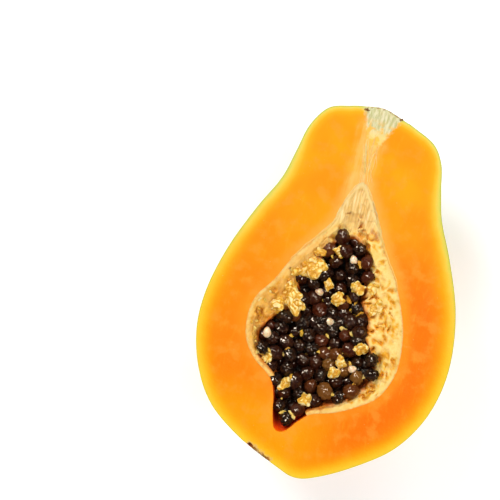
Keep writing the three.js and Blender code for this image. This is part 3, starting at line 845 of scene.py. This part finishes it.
# %% Helpers for materials
class Surface(Nodes):
    """A material in the making."""

    def __init__(self, name, roughness, specular, coat=0.0, coat_roughness=0.1, subsurface=0.0,
                 subsurface_scale=0.002, subsurface_radius=(1.0, 0.45, 0.15)):
        self.material = bpy.data.materials.new(name)
        self.material.use_nodes = True
        super().__init__(self.material.node_tree)
        self.shader = self.tree.nodes["Principled BSDF"].inputs
        for socket, value in (
            ("Roughness", roughness), ("Specular IOR Level", specular), ("Coat Weight", coat),
            ("Coat Roughness", coat_roughness), ("Subsurface Weight", subsurface),
            ("Subsurface Scale", subsurface_scale), ("Subsurface Radius", subsurface_radius),
        ):
            self.feed(self.shader[socket], value)
        self.place = self.add("ShaderNodeTexCoord", "Object")
        self.colour = None

    def in_mm(self):
        """The place's x, y and z as numbers in millimetres."""
        return [part / MM for part in self.add("ShaderNodeSeparateXYZ", None, {"Vector": self.place})]

    def noted(self, name):
        return self.add("ShaderNodeAttribute", "Fac", attribute_name=name)

    def lumps(self, size, detail=3.0, roughness=0.55, stretch=None):
        """Noise from 0 to 1 with lumps of about the given size in millimetres."""
        place = self.place
        if stretch:
            place = self.add("ShaderNodeMapping", "Vector", {"Vector": place, "Scale": stretch})
        return self.noise("Fac", place, 1 / (size * MM), detail, Roughness=roughness)

    def mix(self, share, first, second):
        return self.add("ShaderNodeMix", 2, {0: share, 6: first, 7: second}, data_type="RGBA")

    def wash(self, share, colour):
        """Lays a colour over what is there."""
        self.colour = self.mix(share, self.colour, colour)

    def effect(self, group, **values):
        """Places a shared effect, and gives its outputs."""
        inputs = {name.replace("_", " "): value for name, value in values.items()}
        return self.add("ShaderNodeGroup", None, {"Place": self.place, **inputs}, node_tree=group)

    def finish(self, height, bump, roughness=None):
        """Ends the material with a relief, as high in millimetres as the bump says."""
        relief = {"Strength": 1.0, "Distance": bump * MM, "Height": height}
        self.feed(self.shader["Normal"], self.add("ShaderNodeBump", "Normal", relief))
        self.feed(self.shader["Base Color"], self.colour)
        if roughness is not None:
            self.feed(self.shader["Roughness"], roughness)
        return self.material

    def finish_wet(self, bump, grain, dry, wet, relief=0.0, grain_height=1.0):
        """Ends the material with the wet film over its relief."""
        roughness, film = self.effect(WET_FILM, Grain=grain, Dry=dry, Wet=wet)
        return self.finish(film * grain_height + relief, bump, roughness)


# %% Shared effects: wet film and dots
def wet_film_group():
    nodes, given, result = new_tree("wet_film", "ShaderNodeTree", {
        "Place": VECTOR, "Grain": 900.0, "Dry": 0.55, "Wet": 0.2,
    }, {"Roughness": FLOAT, "Height": FLOAT})
    patches = nodes.noise("Fac", given["Place"], 160.0, 1.0).between(0.4, 0.62)
    roughness = nodes.add("ShaderNodeMix", 0, {0: patches, 2: given["Dry"], 3: given["Wet"]})
    nodes.feed(result["Roughness"], roughness)
    nodes.feed(result["Height"], nodes.noise("Fac", given["Place"], given["Grain"], 2.0))
    return nodes.tree


def dots_group():
    nodes, given, result = new_tree("dots", "ShaderNodeTree", {
        "Place": VECTOR, "Per metre": 300.0, "Radius": 0.2, "Share": 0.4,
    }, {"Mask": FLOAT})
    away, cell, *_ = nodes.add("ShaderNodeTexVoronoi", None, {"Vector": given["Place"],
                                                              "Scale": given["Per metre"]})
    luck, growth, _ = nodes.add("ShaderNodeSeparateColor", None, {"Color": cell})
    size = given["Radius"] * growth.between(0, 1, 0.45, 1.2, "LINEAR")
    chosen = luck.calculate("LESS_THAN", given["Share"])
    nodes.feed(result["Mask"], away.between(size, size * 0.45) * chosen)
    return nodes.tree


WET_FILM, DOTS = wet_film_group(), dots_group()
print("shader groups", WET_FILM.name, "and", DOTS.name)

# %% [markdown]
# ### Flesh
#
# Ripe flesh is a clear orange, redder in the middle of the wall. Towards the skin it turns yellow and then
# green within a few millimetres, and next to the cavity it is paler. The pale woody wedge of the stalk
# runs into it at the top. Each of these is a mask from the notes or from the place.

# %% Flesh material
WEDGE_TOP_Y, WEDGE_LEFT, WEDGE_RIGHT, WEDGE_LEAN_LEFT, WEDGE_LEAN_RIGHT = 84, -9.6, 9.4, 0.36, 0.5
WEDGE_TIP_Y, WEDGE_FULL_Y = 62, 73


def stalk_wedge(look, x, y):
    """1 in the pale wood that runs from the stalk into the flesh."""
    x = x + (look.lumps(2.2) - 0.5) * 4.5
    below = WEDGE_TOP_Y - y
    from_left = x - (below * WEDGE_LEAN_LEFT + WEDGE_LEFT)
    from_right = below * -WEDGE_LEAN_RIGHT + WEDGE_RIGHT - x
    wedge = from_left.between(-1.4, 1.6) * from_right.between(-0.8, 1.4)
    return wedge * y.between(WEDGE_TIP_Y, WEDGE_FULL_Y)


def stalk_wood(look, y, from_skin):
    wood = look.mix(look.lumps(1.1, stretch=(1, 0.25, 1)).between(0.35, 0.65), "#bcb983", "#dfdab2")
    wood = look.mix(y.between(78, 70), wood, "#f6d47e")
    wood = look.mix(look.lumps(3.4).between(0.46, 0.6) * y.between(81, 75) * 0.75, wood, "#fbb52c")
    return look.mix((from_skin + look.lumps(1.6) * 3.4).between(2.4, 1.5), wood, "#8a6838")


def flesh_material():
    look = Surface("ripe_flesh", 0.5, 0.06, subsurface=0.2, subsurface_scale=0.0025)
    x, y, _ = look.in_mm()
    from_skin, from_cavity, scar = (look.noted(name) for name in ("from_skin", "from_cavity", "scar"))
    patches = look.lumps(26, 2).between(0.35, 0.65)
    look.colour = patches.stops((0, "#f99300"), (0.5, "#fa9b00"), (1, "#faa300"))
    look.wash(y.between(60, -45, 0, 0.95, "LINEAR"), "#f98000")
    middle = from_skin.between(5, 13) * from_cavity.between(1, 6)
    look.wash(x.between(4, 30) * y.between(42, 0) * middle * 0.72, "#fa6a00")
    look.wash(x.between(-22, -40) * y.between(18, -4) * middle * 0.45, "#fa7c00")
    look.wash(x.between(22, -6) * y.between(-42, -66) * 0.6, "#fba600")
    look.wash(look.lumps(7, 4).between(0.48, 0.68, 0, 0.5), "#fd9c30")
    streaks = look.lumps(2.2, 4, stretch=(1, 0.28, 1))
    look.wash(streaks.between(0.5, 0.8, 0, 0.3), "#ffaa28")
    haze = (from_cavity + look.lumps(5) * 4).between(2, 8.5, 1, 0)
    look.wash(haze * y.between(-5, 34, 0.12, 0.8), "#fbab4a")
    axis_haze = (x + look.lumps(6) * 6).calculate("ABSOLUTE").between(9, 2) * y.between(34, 50)
    threads = look.lumps(1.8, stretch=(1, 0.16, 1)).between(0.34, 0.66, 0.3, 0.85)
    look.wash(axis_haze * threads, "#fdbf66")
    ragged = from_skin + (look.lumps(4) - 0.5) * 1.2
    near_skin = ragged * y.between(48, 74, 0.1, 0.19)
    yellow_rim = near_skin.stops((0, "#ecc52a"), (0.16, "#f4bd20"), (0.34, "#f8ae10"),
                                 (0.62, "#faa000"), (1, "#fa9800"))
    green_rim = near_skin.stops((0, "#c6c85c"), (0.14, "#e2cd56"), (0.3, "#f2bf36"),
                                (0.52, "#f9aa12"), (1, "#fa9a00"))
    look.wash(ragged.between(9, 2), look.mix(y.between(-20, 45, 0.1, 1), yellow_rim, green_rim))
    look.wash(from_skin.between(0.55, 0.15) * y.between(-70, 30, 0.35, 0.9), "#a9ab3a")
    look.wash(stalk_wedge(look, x, y) * 0.96, stalk_wood(look, y, from_skin))
    specks, = look.effect(DOTS, Per_metre=520.0, Radius=0.12, Share=0.25)
    look.wash(specks * 0.22, "#ffd08a")
    ragged = from_skin + look.lumps(2, 4) * 5
    look.wash(scar.between(0.05, 0.5) * ragged.between(5.2, 3.9) * 0.8, "#dcae66")
    rust = look.lumps(1.5).stops((0.36, "#43190a"), (0.48, "#7c3a14"), (0.58, "#b5702c"), (0.68, "#dcb47c"))
    look.wash(scar.between(0.3, 0.7) * ragged.between(4.0, 3.4), rust)
    return look.finish_wet(0.12, grain=1100.0, dry=0.55, wet=0.38, relief=streaks * 0.7)


def cavity_wall_material():
    look = Surface("cavity_wall", 0.35, 0.3, subsurface=0.5, subsurface_scale=0.004)
    depth = CUT_HEIGHT - look.in_mm()[2]
    # The red is the flesh's own, and the darkening with depth is painted shade down in the cavity.
    look.colour = (depth * 0.1).stops((0, "#fc7c08"), (0.1, "#f6540a"), (0.35, "#ec3c06"), (1, "#b02404"))
    look.wash(look.lumps(4).between(0.45, 0.75, 0, 0.4), "#f2701a")
    return look.finish_wet(0.2, grain=700.0, dry=0.45, wet=0.2)


# %% [markdown]
# ### Skin
#
# The skin ripens from the blossom end upwards: orange-yellow on the belly, green at the neck, with
# olive patches that lag behind. It carries brown pores that crowd on the belly, a waxy bloom, and the
# two dry ends. Large noise drives the ripening, and the dots group makes the pores.

# %% Skin material
def skin_material():
    look = Surface("waxy_skin", 0.38, 0.45, coat=0.15, coat_roughness=0.25)
    y = look.in_mm()[1]
    ripening = y + look.lumps(34, 4) * 70 + look.lumps(15, 4, stretch=(1, 0.35, 1)) * 62
    look.colour = ripening.between(132, 38).stops((0, "#76860e"), (0.22, "#979a12"), (0.42, "#c6ae18"),
                                                  (0.62, "#ecb51a"), (0.8, "#f3ab18"), (1, "#f29c1c"))
    look.wash(look.lumps(42, 2).between(0.42, 0.7) * y.between(0, -50) * 0.7, "#ec9a48")
    look.wash(look.lumps(24, stretch=(1, 0.5, 1)).between(0.5, 0.72, 0, 0.55), "#e4cc74")
    unripe = look.lumps(19, 4, 0.6).between(0.5, 0.66).calculate("MAXIMUM", y.between(-58, -80))
    look.wash(unripe * look.lumps(1.5, 4, 0.7).between(0.42, 0.62, 0.15, 0.75), "#84862a")
    pores, = look.effect(DOTS, Per_metre=560.0, Radius=0.2, Share=y.between(62, -12, 0.2, 1))
    look.wash(pores * 0.7, "#8a6a22")
    big_pores, = look.effect(DOTS, Per_metre=190.0, Radius=0.085, Share=0.6)
    look.wash(big_pores * 0.85, "#58350f")
    on_stalk, on_scar = look.noted("stalk").between(1.16, 1.02), look.noted("scar").between(0.1, 0.6)
    look.wash(on_stalk, look.mix(look.lumps(1.2).between(0.35, 0.65), "#8d7440", "#d8cd96"))
    look.wash(on_scar, look.mix(look.lumps(0.9).between(0.35, 0.65), "#3b2413", "#8a6238"))
    dry = on_stalk.calculate("MAXIMUM", on_scar)
    roughness = look.lumps(6).between(0.3, 0.7, 0.3, 0.44).calculate("MAXIMUM", dry * 0.85)
    return look.finish(look.lumps(0.9, 2) * 0.5 - pores * 0.4, 0.12, roughness)


# %% [markdown]
# ### Pulp and seeds
#
# The pulp is cream where it is cut across. Light and shade are painted into its folds: darker yellow in
# the pits and creases, paler cream where a fold stands up, and a dark amber of painted shade where it
# nears the seeds. The seeds are nearly black, browner where the gel is thick, and every one is a little
# different. The gel is a clear coat, which gives the small sharp lights.

# %% Pulp and seed materials
PULP_FILM = (0.12, 1300.0, 0.6, 0.36)


def pulp_surface(name, deep="#c88420", pit="#e4ac34", side="#f4c962", ridge="#fde5a0"):
    look = Surface(name, 0.5, 0.07, subsurface=0.4, subsurface_radius=(1.0, 0.85, 0.6))
    # The fold ramp paints light and shade: darkest in the pits and creases, palest on raised walls.
    look.colour = look.noted("fold").stops((0, deep), (0.28, pit), (0.62, side), (1, ridge))
    look.wash(look.lumps(3.2).between(0.46, 0.68, 0, 0.5), "#ecb634")
    look.wash(look.lumps(0.9).between(0.45, 0.75, 0, 0.24), "#ffecb4")
    look.wash(look.lumps(4.6).between(0.54, 0.7, 0, 0.5), "#c98a24")
    return look


def nugget_material():
    return pulp_surface("pulp_nugget").finish_wet(*PULP_FILM)


def lining_material():
    look = pulp_surface("pulp_lining", "#b05608", "#d68410", "#edab30", "#fbd684")
    x, y, _ = look.in_mm()
    from_rim, from_seeds = look.noted("from_rim"), look.noted("from_seeds")
    tan = look.mix(look.lumps(3.5).between(0.35, 0.65), "#cc7e1a", "#eeb04a")
    tan = look.mix(y.between(-4, 14, 0, 0.7), tan, "#ecb766")
    look.wash((y * 0.25 + x).between(2, -8) * 0.72, tan)
    # Painted shade: the lining turns a dark amber where it meets the seeds.
    look.wash((from_seeds + look.lumps(2.5) * 3).between(3.6, 0.8, 0, 0.9), "#b4480c")
    cut_band = (from_rim + look.lumps(3) * 1.6).between(3.2, 1.6)
    look.wash(cut_band * look.lumps(2.4).between(0.35, 0.6, 0.35, 0.85), "#f7cd7c")
    look.wash((from_rim + look.lumps(2.2) * 2.6).between(2.0, 1.1, 0, 0.7), "#fba03a")
    fibres = look.add("ShaderNodeCombineXYZ", "Vector", {"X": look.noted("fibre"), "Y": from_rim * 0.1})
    tip = look.noise("Fac", fibres, 0.9, 3.0).stops((0.3, "#d0a056"), (0.5, "#e8bc70"), (0.66, "#f9dca0"))
    look.wash(y.between(25, 36), look.mix(from_rim.between(3.2, 1.2), tip, "#f6d08a"))
    return look.finish_wet(*PULP_FILM)


def seed_material():
    look = Surface("wet_seed", 0.45, 0.1, coat=0.7, coat_roughness=0.05)
    look.colour = look.noted("tone").stops((0, "#0e0201"), (0.35, "#280802"), (0.6, "#481605"),
                                           (0.82, "#60300c"), (0.93, "#744818"), (1, "#8a6028"))
    look.wash(look.lumps(1.8).between(0.42, 0.72, 0, 0.8), look.mix(0.2, look.colour, "#84502a"))
    wrinkles = 1.0 - look.add("ShaderNodeTexVoronoi", "Distance", {
        "Vector": look.place, "Scale": 1 / (0.7 * MM), "Smoothness": 0.4}, feature="SMOOTH_F1")
    return look.finish_wet(0.16, grain=2500.0, dry=0.5, wet=0.3, relief=wrinkles, grain_height=0.15)


def pale_seed_material():
    look = Surface("pale_seed", 0.35, 0.4, coat=0.5, subsurface=0.3)
    look.colour = look.lumps(1.5).stops((0.3, "#d9a878"), (0.5, "#efcfa2"), (0.7, "#fbe8c8"))
    return look.finish(look.lumps(0.8), 0.15)


FLESH, CAVITY_WALL, SKIN = flesh_material(), cavity_wall_material(), skin_material()
LINING, NUGGET = lining_material(), nugget_material()
SEED, PALE_SEED = seed_material(), pale_seed_material()
for material in (SKIN, FLESH, CAVITY_WALL):
    half_fruit.data.materials.append(material)
pulp_lining.data.materials.append(LINING)
pulp_nuggets.data.materials.append(NUGGET)
print(len(bpy.data.materials), "materials")

# %% [markdown]
# ## Grow the seeds
#
# The top layer takes the settled places, with a size and a tone for each. The second layer lies under it in a
# plain staggered pattern, smaller and darker, and closes the gaps, so that the bed looks deep. Under
# both is a dark floor that they are rooted in: a sheet of painted shade that fills the deep gaps.

# %% Two layers of seeds
EMPTY_SKINS_FROM_X, EMPTY_SKINS_BELOW_Y, EMPTY_SKIN_TONES = 4, -26, (0.8, 0.96)
SEED_SIZES, HIGHEST_TOP = (0.86, 1.18), 1.8
LAYER_STEP, LAYER_DROP, LAYER_RADIUS, LAYER_JITTER = 5.4, 4.6, 2.9, 0.8
LAYER_SPREAD_X, LAYER_SPREAD_Y, ROW_SPACING = range(-8, 9), range(-12, 12), 0.87


def bare_object(name, points, edges=()):
    """Bare points in millimetres, and edges, for a tree to grow something on."""
    mesh = bpy.data.meshes.new(name)
    mesh.from_pydata([tuple(point) for point in np.asarray(points) * MM], edges, [])
    return show(name, mesh)


def places_object(name, places, sizes, **notes):
    """Places for the seeds' tree, with a size and any other notes for each."""
    piece = bare_object(name, places)
    note(piece, **{"size": sizes * MM, "wrinkled": 1, **notes})
    return piece


tones = 0.8 * dice.uniform(0, 1, SEED_COUNT) ** 1.8
empty_skins = (seed_places[:, 0] > EMPTY_SKINS_FROM_X) & (seed_places[:, 1] < EMPTY_SKINS_BELOW_Y)
empty_skins &= dice.uniform(0, 1, SEED_COUNT) < 0.5
tones = np.where(empty_skins, dice.uniform(*EMPTY_SKIN_TONES, SEED_COUNT), tones)
sizes = SEED_RADIUS * dice.uniform(*SEED_SIZES, SEED_COUNT)
seed_places[:, 2] = np.minimum(seed_places[:, 2], CUT_HEIGHT + HIGHEST_TOP - sizes)
wrinkled = np.where(empty_skins, 1.4, 1.45 - 0.85 * tones)
seeds = places_object("seeds_top", seed_places, sizes, tone=tones, wrinkled=wrinkled)
seeds = grow(seeds, SEED_TREE, Material=SEED)

under = []
for row in LAYER_SPREAD_Y:
    for column in LAYER_SPREAD_X:
        x = (column + (row % 2) / 2) * LAYER_STEP + dice.uniform(-LAYER_JITTER, LAYER_JITTER)
        y = row * LAYER_STEP * ROW_SPACING + BED_CENTRE[1] + dice.uniform(-LAYER_JITTER, LAYER_JITTER)
        if inside_bed(x, y):
            under.append((x, y, CUT_HEIGHT - bed_depth(x, y) - LAYER_DROP - dice.uniform(0, 1.5)))
seeds_under = places_object("seeds_under", under, LAYER_RADIUS * dice.uniform(0.9, 1.05, len(under)),
                            tone=0.6 * dice.uniform(0, 1, len(under)))
seeds_under = grow(seeds_under, SEED_TREE, Facets=3, Turns=19, Material=SEED)
print(SEED_COUNT, "seeds on top,", len(under), "under them")

# %% The dark floor under the seeds, a sheet of painted shade
FLOOR_DROP, FLOOR_EDGE_DROP, FLOOR_FOOT_DROP = 4.2, 6.4, 9
bed_line, middle = np.array(BED_OUTLINE, float), np.array(BED_CENTRE, float)


def floor_row(share, drop):
    return [(x, y, CUT_HEIGHT - bed_depth(x, y) - drop) for x, y in middle + (bed_line - middle) * share]


shade_under_seeds = mesh_of("shade_under_seeds", [sheet([
    *(floor_row(share, FLOOR_FOOT_DROP) for share in (0, 0.5, 0.94)),
    *(floor_row(share, FLOOR_EDGE_DROP) for share in (1, 0.97)),
    *(floor_row(share, FLOOR_DROP) for share in (0.9, 0.75, 0.5, 0.25, 0)),
], closed=True)])
# Tone 0 is the darkest seed colour: this sheet is painted shade in the deep gaps between the seeds.
note(shade_under_seeds, tone=0)
shade_under_seeds.data.materials.append(SEED)

# %% Pale unripe seeds
PALE_SEED_SHAPE, PALE_SEED_TAPER, PALE_SEED_RISE = (1, 0.78, 0.72), 0.16, 1.8
shape = bmesh.new()
for x, y, half_length in PALE_SEEDS:
    centre = (x, y, CUT_HEIGHT - bed_depth(x, y) + PALE_SEED_RISE)
    turn = (0, 0, dice.uniform(0, math.pi))
    add_ball(shape, centre, half_length, PALE_SEED_SHAPE, turn, 4, PALE_SEED_TAPER)
pale_seeds = show_shape("pale_seeds", shape)
points, outward = points_of(pale_seeds), normals_of(pale_seeds)
move_points(pale_seeds, points + outward * (0.12 * waves(points, 1.1, 9))[:, None])
pale_seeds.data.materials.append(PALE_SEED)
print(len(PALE_SEEDS), "pale seeds")

# %% [markdown]
# ## Torn bits of pulp
#
# The cut has left shreds of pulp sticking to the seeds. They cling where two seeds touch, so each bit is put
# between a pair of close neighbours, a little above them. More of them fray the lip on the left. The
# seeds' tree grows these as well, since it scatters any small grain: here a long, uneven one.

# %% Bits of pulp
BITS, TOUCHING, BIT_SIZES, BIT_SHAPE = 40, 7.4, (0.6, 1.7), (0.8, 1.5, 0.55)
LIP_BITS, LIP_BITS_FROM, LIP_BITS_TO = 34, 160, 236


def round_cavity(angles, away):
    """The x and y of places at an angle and a distance from the cavity's centre."""
    return CAVITY_CENTRE[:, None] + np.array([np.cos(angles), np.sin(angles)]) * away


pairs = [(seed_places[i] + seed_places[j]) / 2 for i in range(SEED_COUNT) for j in range(i)
         if np.linalg.norm(seed_places[i] - seed_places[j]) < TOUCHING]
on_seeds = dice.permutation(pairs)[:BITS]
on_seeds[:, 2] = np.minimum(on_seeds[:, 2] + dice.uniform(0.3, 1.5, BITS), CUT_HEIGHT - 0.6)
angles = np.radians(dice.uniform(LIP_BITS_FROM, LIP_BITS_TO, LIP_BITS))
x, y = round_cavity(angles, reach(PULP_LIP, angles) - dice.uniform(-0.8, 2.4, LIP_BITS))
on_lip = np.column_stack([x, y, CUT_HEIGHT - dice.uniform(0.9, 2.6, LIP_BITS)])
places = np.concatenate([on_seeds, on_lip])
pulp_bits = places_object("pulp_bits", places, dice.uniform(*BIT_SIZES, len(places)),
                          fold=dice.uniform(0, 1, len(places)) ** 1.5)
pulp_bits = grow(pulp_bits, SEED_TREE, Facets=3, Turns=43, Wrinkle_size=0.9 * MM, Shape=BIT_SHAPE,
                 Material=NUGGET)

# %% [markdown]
# ## Strands from the stalk
#
# The fruit was fed through strands of fibre that run from the stalk wedge down to the tip of the cavity
# and along both its sides. A knife leaves them a hair proud of the flesh. They follow a path, so a
# node tree turns each path into a smooth spline, lets it wander a little, and sweeps a small circle
# along it that tapers at both ends.

# %% Strands
MAIN_STRANDS = [
    (0.42, [(-4.8, 72), (-4.2, 65.3), (-2.4, 59.3), (-1.8, 52.9), (-1.5, 49)]),
    (0.36, [(1.3, 69), (-0.3, 62.6), (-0.5, 57), (0.2, 51.6), (1.1, 48)]),
    (0.3, [(-0.7, 50), (-0.5, 42.1), (0.4, 35)]),
    (0.28, [(-3, 46), (-4.4, 40), (-5.4, 34)]),
    (0.26, [(1.8, 44), (3.4, 38), (5.6, 32)]),
]
SIDE_STRANDS, SIDE_WIDTH, SIDE_THINNER, FROM_RIM, SIDE_SPACING = 2, 0.5, 0.1, 0.3, 0.4
FINE_STRANDS, FINE_WIDTHS, FINE_LEAN = 12, (0.08, 0.2), 0.25
FINE_START_X, FINE_START_Y, FINE_END_X, FINE_END_Y = (-6, 2), (64, 75), (-5, 3), (48, 60)
SUNK, THINNEST_STRAND = 0.55, 0.04


def paths_object(name, paths):
    """Paths as bare edges, with the half width noted at each point."""
    points, edges, widths = [], [], []
    for width, path in paths:
        edges += [(len(points) + i, len(points) + i + 1) for i in range(len(path) - 1)]
        points += [(x, y, CUT_HEIGHT - SUNK * width) for x, y in path]
        widths += [width * MM] * len(path)
    piece = bare_object(name, points, edges)
    note(piece, width=widths)
    return piece


def strand_tree():
    nodes, given, result = new_tree("strands_on_paths", "GeometryNodeTree", {
        "Paths": GEOMETRY, "Step": 0.7 * MM, "Wander": 0.3 * MM, "Wander length": 5 * MM,
        "Sides": 7, "Material": MATERIAL,
    }, {"Strands": GEOMETRY})
    line = nodes.through("GeometryNodeMeshToCurve", given["Paths"])
    line = nodes.through("GeometryNodeCurveSplineType", line, spline_type="CATMULL_ROM")
    line = nodes.through("GeometryNodeResampleCurve", line, {"Length": given["Step"]}, mode="LENGTH")
    drift = nodes.noise("Color", nodes.add("GeometryNodeInputPosition", "Position"),
                        1.0 / given["Wander length"], 2.0)
    level = nodes.vector("MULTIPLY", nodes.vector("SUBTRACT", drift, (0.5, 0.5, 0.5)), (4.0, 4.0, 0.6))
    offset = nodes.vector("SCALE", level, given["Wander"], to="Scale")
    line = nodes.through("GeometryNodeSetPosition", line, {"Offset": offset})
    along = nodes.add("GeometryNodeSplineParameter", "Factor")
    taper = (along * math.pi).calculate("SINE").calculate("POWER", 0.5)
    ring = nodes.add("GeometryNodeCurvePrimitiveCircle", "Curve", {"Resolution": given["Sides"], "Radius": 1})
    radius = taper * nodes.named("width") + THINNEST_STRAND * MM
    swept = nodes.through("GeometryNodeCurveToMesh", line, {"Profile Curve": ring, "Scale": radius,
                                                            "Fill Caps": True})
    nodes.end(swept, given["Material"], result["Strands"])
    return nodes.tree


def fibre_material():
    look = Surface("pale_fibre", 0.5, 0.2, subsurface=0.4, subsurface_scale=0.0012)
    look.colour = look.lumps(3).stops((0.3, "#f2b658"), (0.55, "#f8c676"), (0.75, "#fbd490"))
    look.wash(look.in_mm()[1].between(40, 16), "#f9b85c")
    return look.finish(look.lumps(0.5, stretch=(1, 0.2, 1)), 0.1)


paths = list(MAIN_STRANDS)
cavity_tip = bearings[np.argmax(CAVITY_CENTRE[1] + ways[:, 1] * rim)]
for side in (-1, 1):
    for i in range(SIDE_STRANDS):
        angles = cavity_tip - side * np.linspace(-0.01, dice.uniform(0.35, 1.1), 9)
        x, y = round_cavity(angles, reach(CAVITY_RIM, angles) + FROM_RIM + SIDE_SPACING * i)
        paths.append((SIDE_WIDTH - SIDE_THINNER * i, list(zip(x, y))))
for _ in range(FINE_STRANDS):
    start_x, end_x = dice.uniform(*FINE_START_X), dice.uniform(*FINE_END_X)
    start_y, end_y = dice.uniform(*FINE_START_Y), dice.uniform(*FINE_END_Y)
    start_x += FINE_LEAN * (start_y - 70)
    halfway = ((start_x + end_x) / 2 + dice.uniform(-0.8, 0.8), (start_y + end_y) / 2)
    paths.append((dice.uniform(*FINE_WIDTHS), [(start_x, start_y), halfway, (end_x, end_y)]))
strands = grow(paths_object("stalk_strands", paths), strand_tree(), Material=fibre_material())

# %% [markdown]
# ## Dry crumbs on the two ends
#
# Where the flower dropped off and where the stalk was snapped, the fruit has healed with a dry, crumbly
# crust. The seeds' tree makes this as well: the places are points of the skin inside each scar, and
# the grains are small, coarse and deeply wrinkled.

# %% Crumbs
CRUMBS_A_SCAR, CRUMB_SIZES, UNDER_FACE = 55, (0.25, 0.75), 0.6
FLAP_CRUMBS, FLAP_SPREAD, FLAP_DROP, FLAPS = 8, (0.9, 0.3), 0.25, [(-8.4, 83.1), (7.6, 82.2)]


def crust_material():
    look = Surface("dry_crust", 0.85, 0.2)
    look.colour = look.lumps(1.4).stops((0.3, "#4a2712"), (0.5, "#835a2e"), (0.7, "#c09a62"))
    return look.finish(look.lumps(0.4), 0.2)


found = points_of(half_fruit)
scar_found, stalk_found = (np.array([entry.value for entry in half_fruit.data.attributes[name].data])
                           for name in ("scar", "stalk"))
below_face = found[:, 2] < CUT_HEIGHT - UNDER_FACE
on_blossom = found[(scar_found > 0.6) & below_face & (from_skin == 0)]
on_stalk = found[(stalk_found > 0.88) & (stalk_found < 1.1) & below_face]
places = np.concatenate([dice.choice(on_blossom, CRUMBS_A_SCAR), dice.choice(on_stalk, CRUMBS_A_SCAR)])
places[:, 1] -= 0.5 * np.sign(places[:, 1])
for flap in FLAPS:
    on_flap = np.array(flap) + dice.normal(0, FLAP_SPREAD, (FLAP_CRUMBS, 2))
    on_flap = np.column_stack([on_flap, np.full(FLAP_CRUMBS, CUT_HEIGHT - FLAP_DROP)])
    places = np.concatenate([places, on_flap])
crumbs = places_object("dry_crumbs", places, dice.uniform(*CRUMB_SIZES, len(places)))
crumbs = grow(crumbs, SEED_TREE, Facets=2, Wrinkle_size=0.8 * MM, Turns=31, Material=crust_material())

# %% [markdown]
# ## Studio
#
# Soft light from the upper left and a fill from the other side, on a plain white floor. The lights stand
# to the sides, so that the flat cut face doesn't mirror them into the camera and its orange stays
# clean, while the round seeds still catch them. The world is bright to the eye and dim as a light,
# because an even white sky would lay a grey film on the black seeds.

# %% Floor and light
FLOOR_SIZE = 4000.0
AMBIENT, MIRRORED, SPARKLE_COLOUR = 0.2, 0.05, (1.0, 0.86, 0.68)
bpy.ops.mesh.primitive_plane_add(size=FLOOR_SIZE * MM)
floor = bpy.context.object
floor.name = "floor"
floor_material = bpy.data.materials.new("plain_floor")
floor_material.use_nodes = True
for socket, value in (("Base Color", (0.98, 0.98, 0.98, 1)), ("Roughness", 0.9),
                      ("Emission Color", (1, 1, 1, 1)), ("Emission Strength", 0.2)):
    floor_material.node_tree.nodes["Principled BSDF"].inputs[socket].default_value = value
floor.data.materials.append(floor_material)


def soft_light(name, place, size, power, sparkle=False):
    """A square lamp aimed at the half. It is either seen in gloss only, or lights all but gloss."""
    lamp = bpy.data.lights.new(name, "AREA")
    lamp.size, lamp.energy = size * MM, power
    held = show(name, lamp)
    held.location = Vector(place) * MM
    aim = Vector((0, 0, CUT_HEIGHT)) * MM - held.location
    held.rotation_euler = aim.to_track_quat("-Z", "Y").to_euler()
    if sparkle:
        lamp.color = SPARKLE_COLOUR
    held.visible_glossy = sparkle
    held.visible_diffuse = not sparkle


soft_light("key", (-560, 430, 640), 380, 5.6)
soft_light("fill", (620, -60, 600), 460, 3.0)
soft_light("rear", (120, 720, 560), 380, 2.0)
soft_light("front", (-120, -700, 600), 380, 2.4)
soft_light("sparkle_left", (-330, 330, 760), 280, 16, sparkle=True)
soft_light("sparkle_right", (300, 60, 820), 160, 3.5, sparkle=True)

world = bpy.data.worlds.new("studio")
bpy.context.scene.world = world
world.use_nodes = True
sky, background = Nodes(world.node_tree), world.node_tree.nodes["Background"].inputs
glossy, seen = (sky.add("ShaderNodeLightPath", f"Is {ray} Ray") for ray in ("Glossy", "Camera"))
brightness = sky.add("ShaderNodeMix", 0, {0: glossy, 2: AMBIENT, 3: MIRRORED})
brightness = sky.add("ShaderNodeMix", 0, {0: seen, 2: brightness, 3: 1.0})
sky.feed(background["Color"], (1, 1, 1, 1))
sky.feed(background["Strength"], brightness)
bpy.context.scene.view_settings.view_transform = "Standard"
print("four soft lights, two for the sparkle, and a white floor")

# %% [markdown]
# ## Tie the pieces to the body
#
# Nothing moves on this object, so every piece rides on the one body, and the three solids are hidden.

# %% Ride, and hide the solids
RIDERS = {
    "flesh": [half_fruit, strands, crumbs],
    "pulp": [pulp_lining, pulp_nuggets, pulp_bits, pale_seeds],
    "seeds": [seeds, seeds_under, shade_under_seeds],
}
for slot, riders in RIDERS.items():
    for piece in riders:
        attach(piece, "root")
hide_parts("papaya_half")
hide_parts("pulp")
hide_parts("seeds")
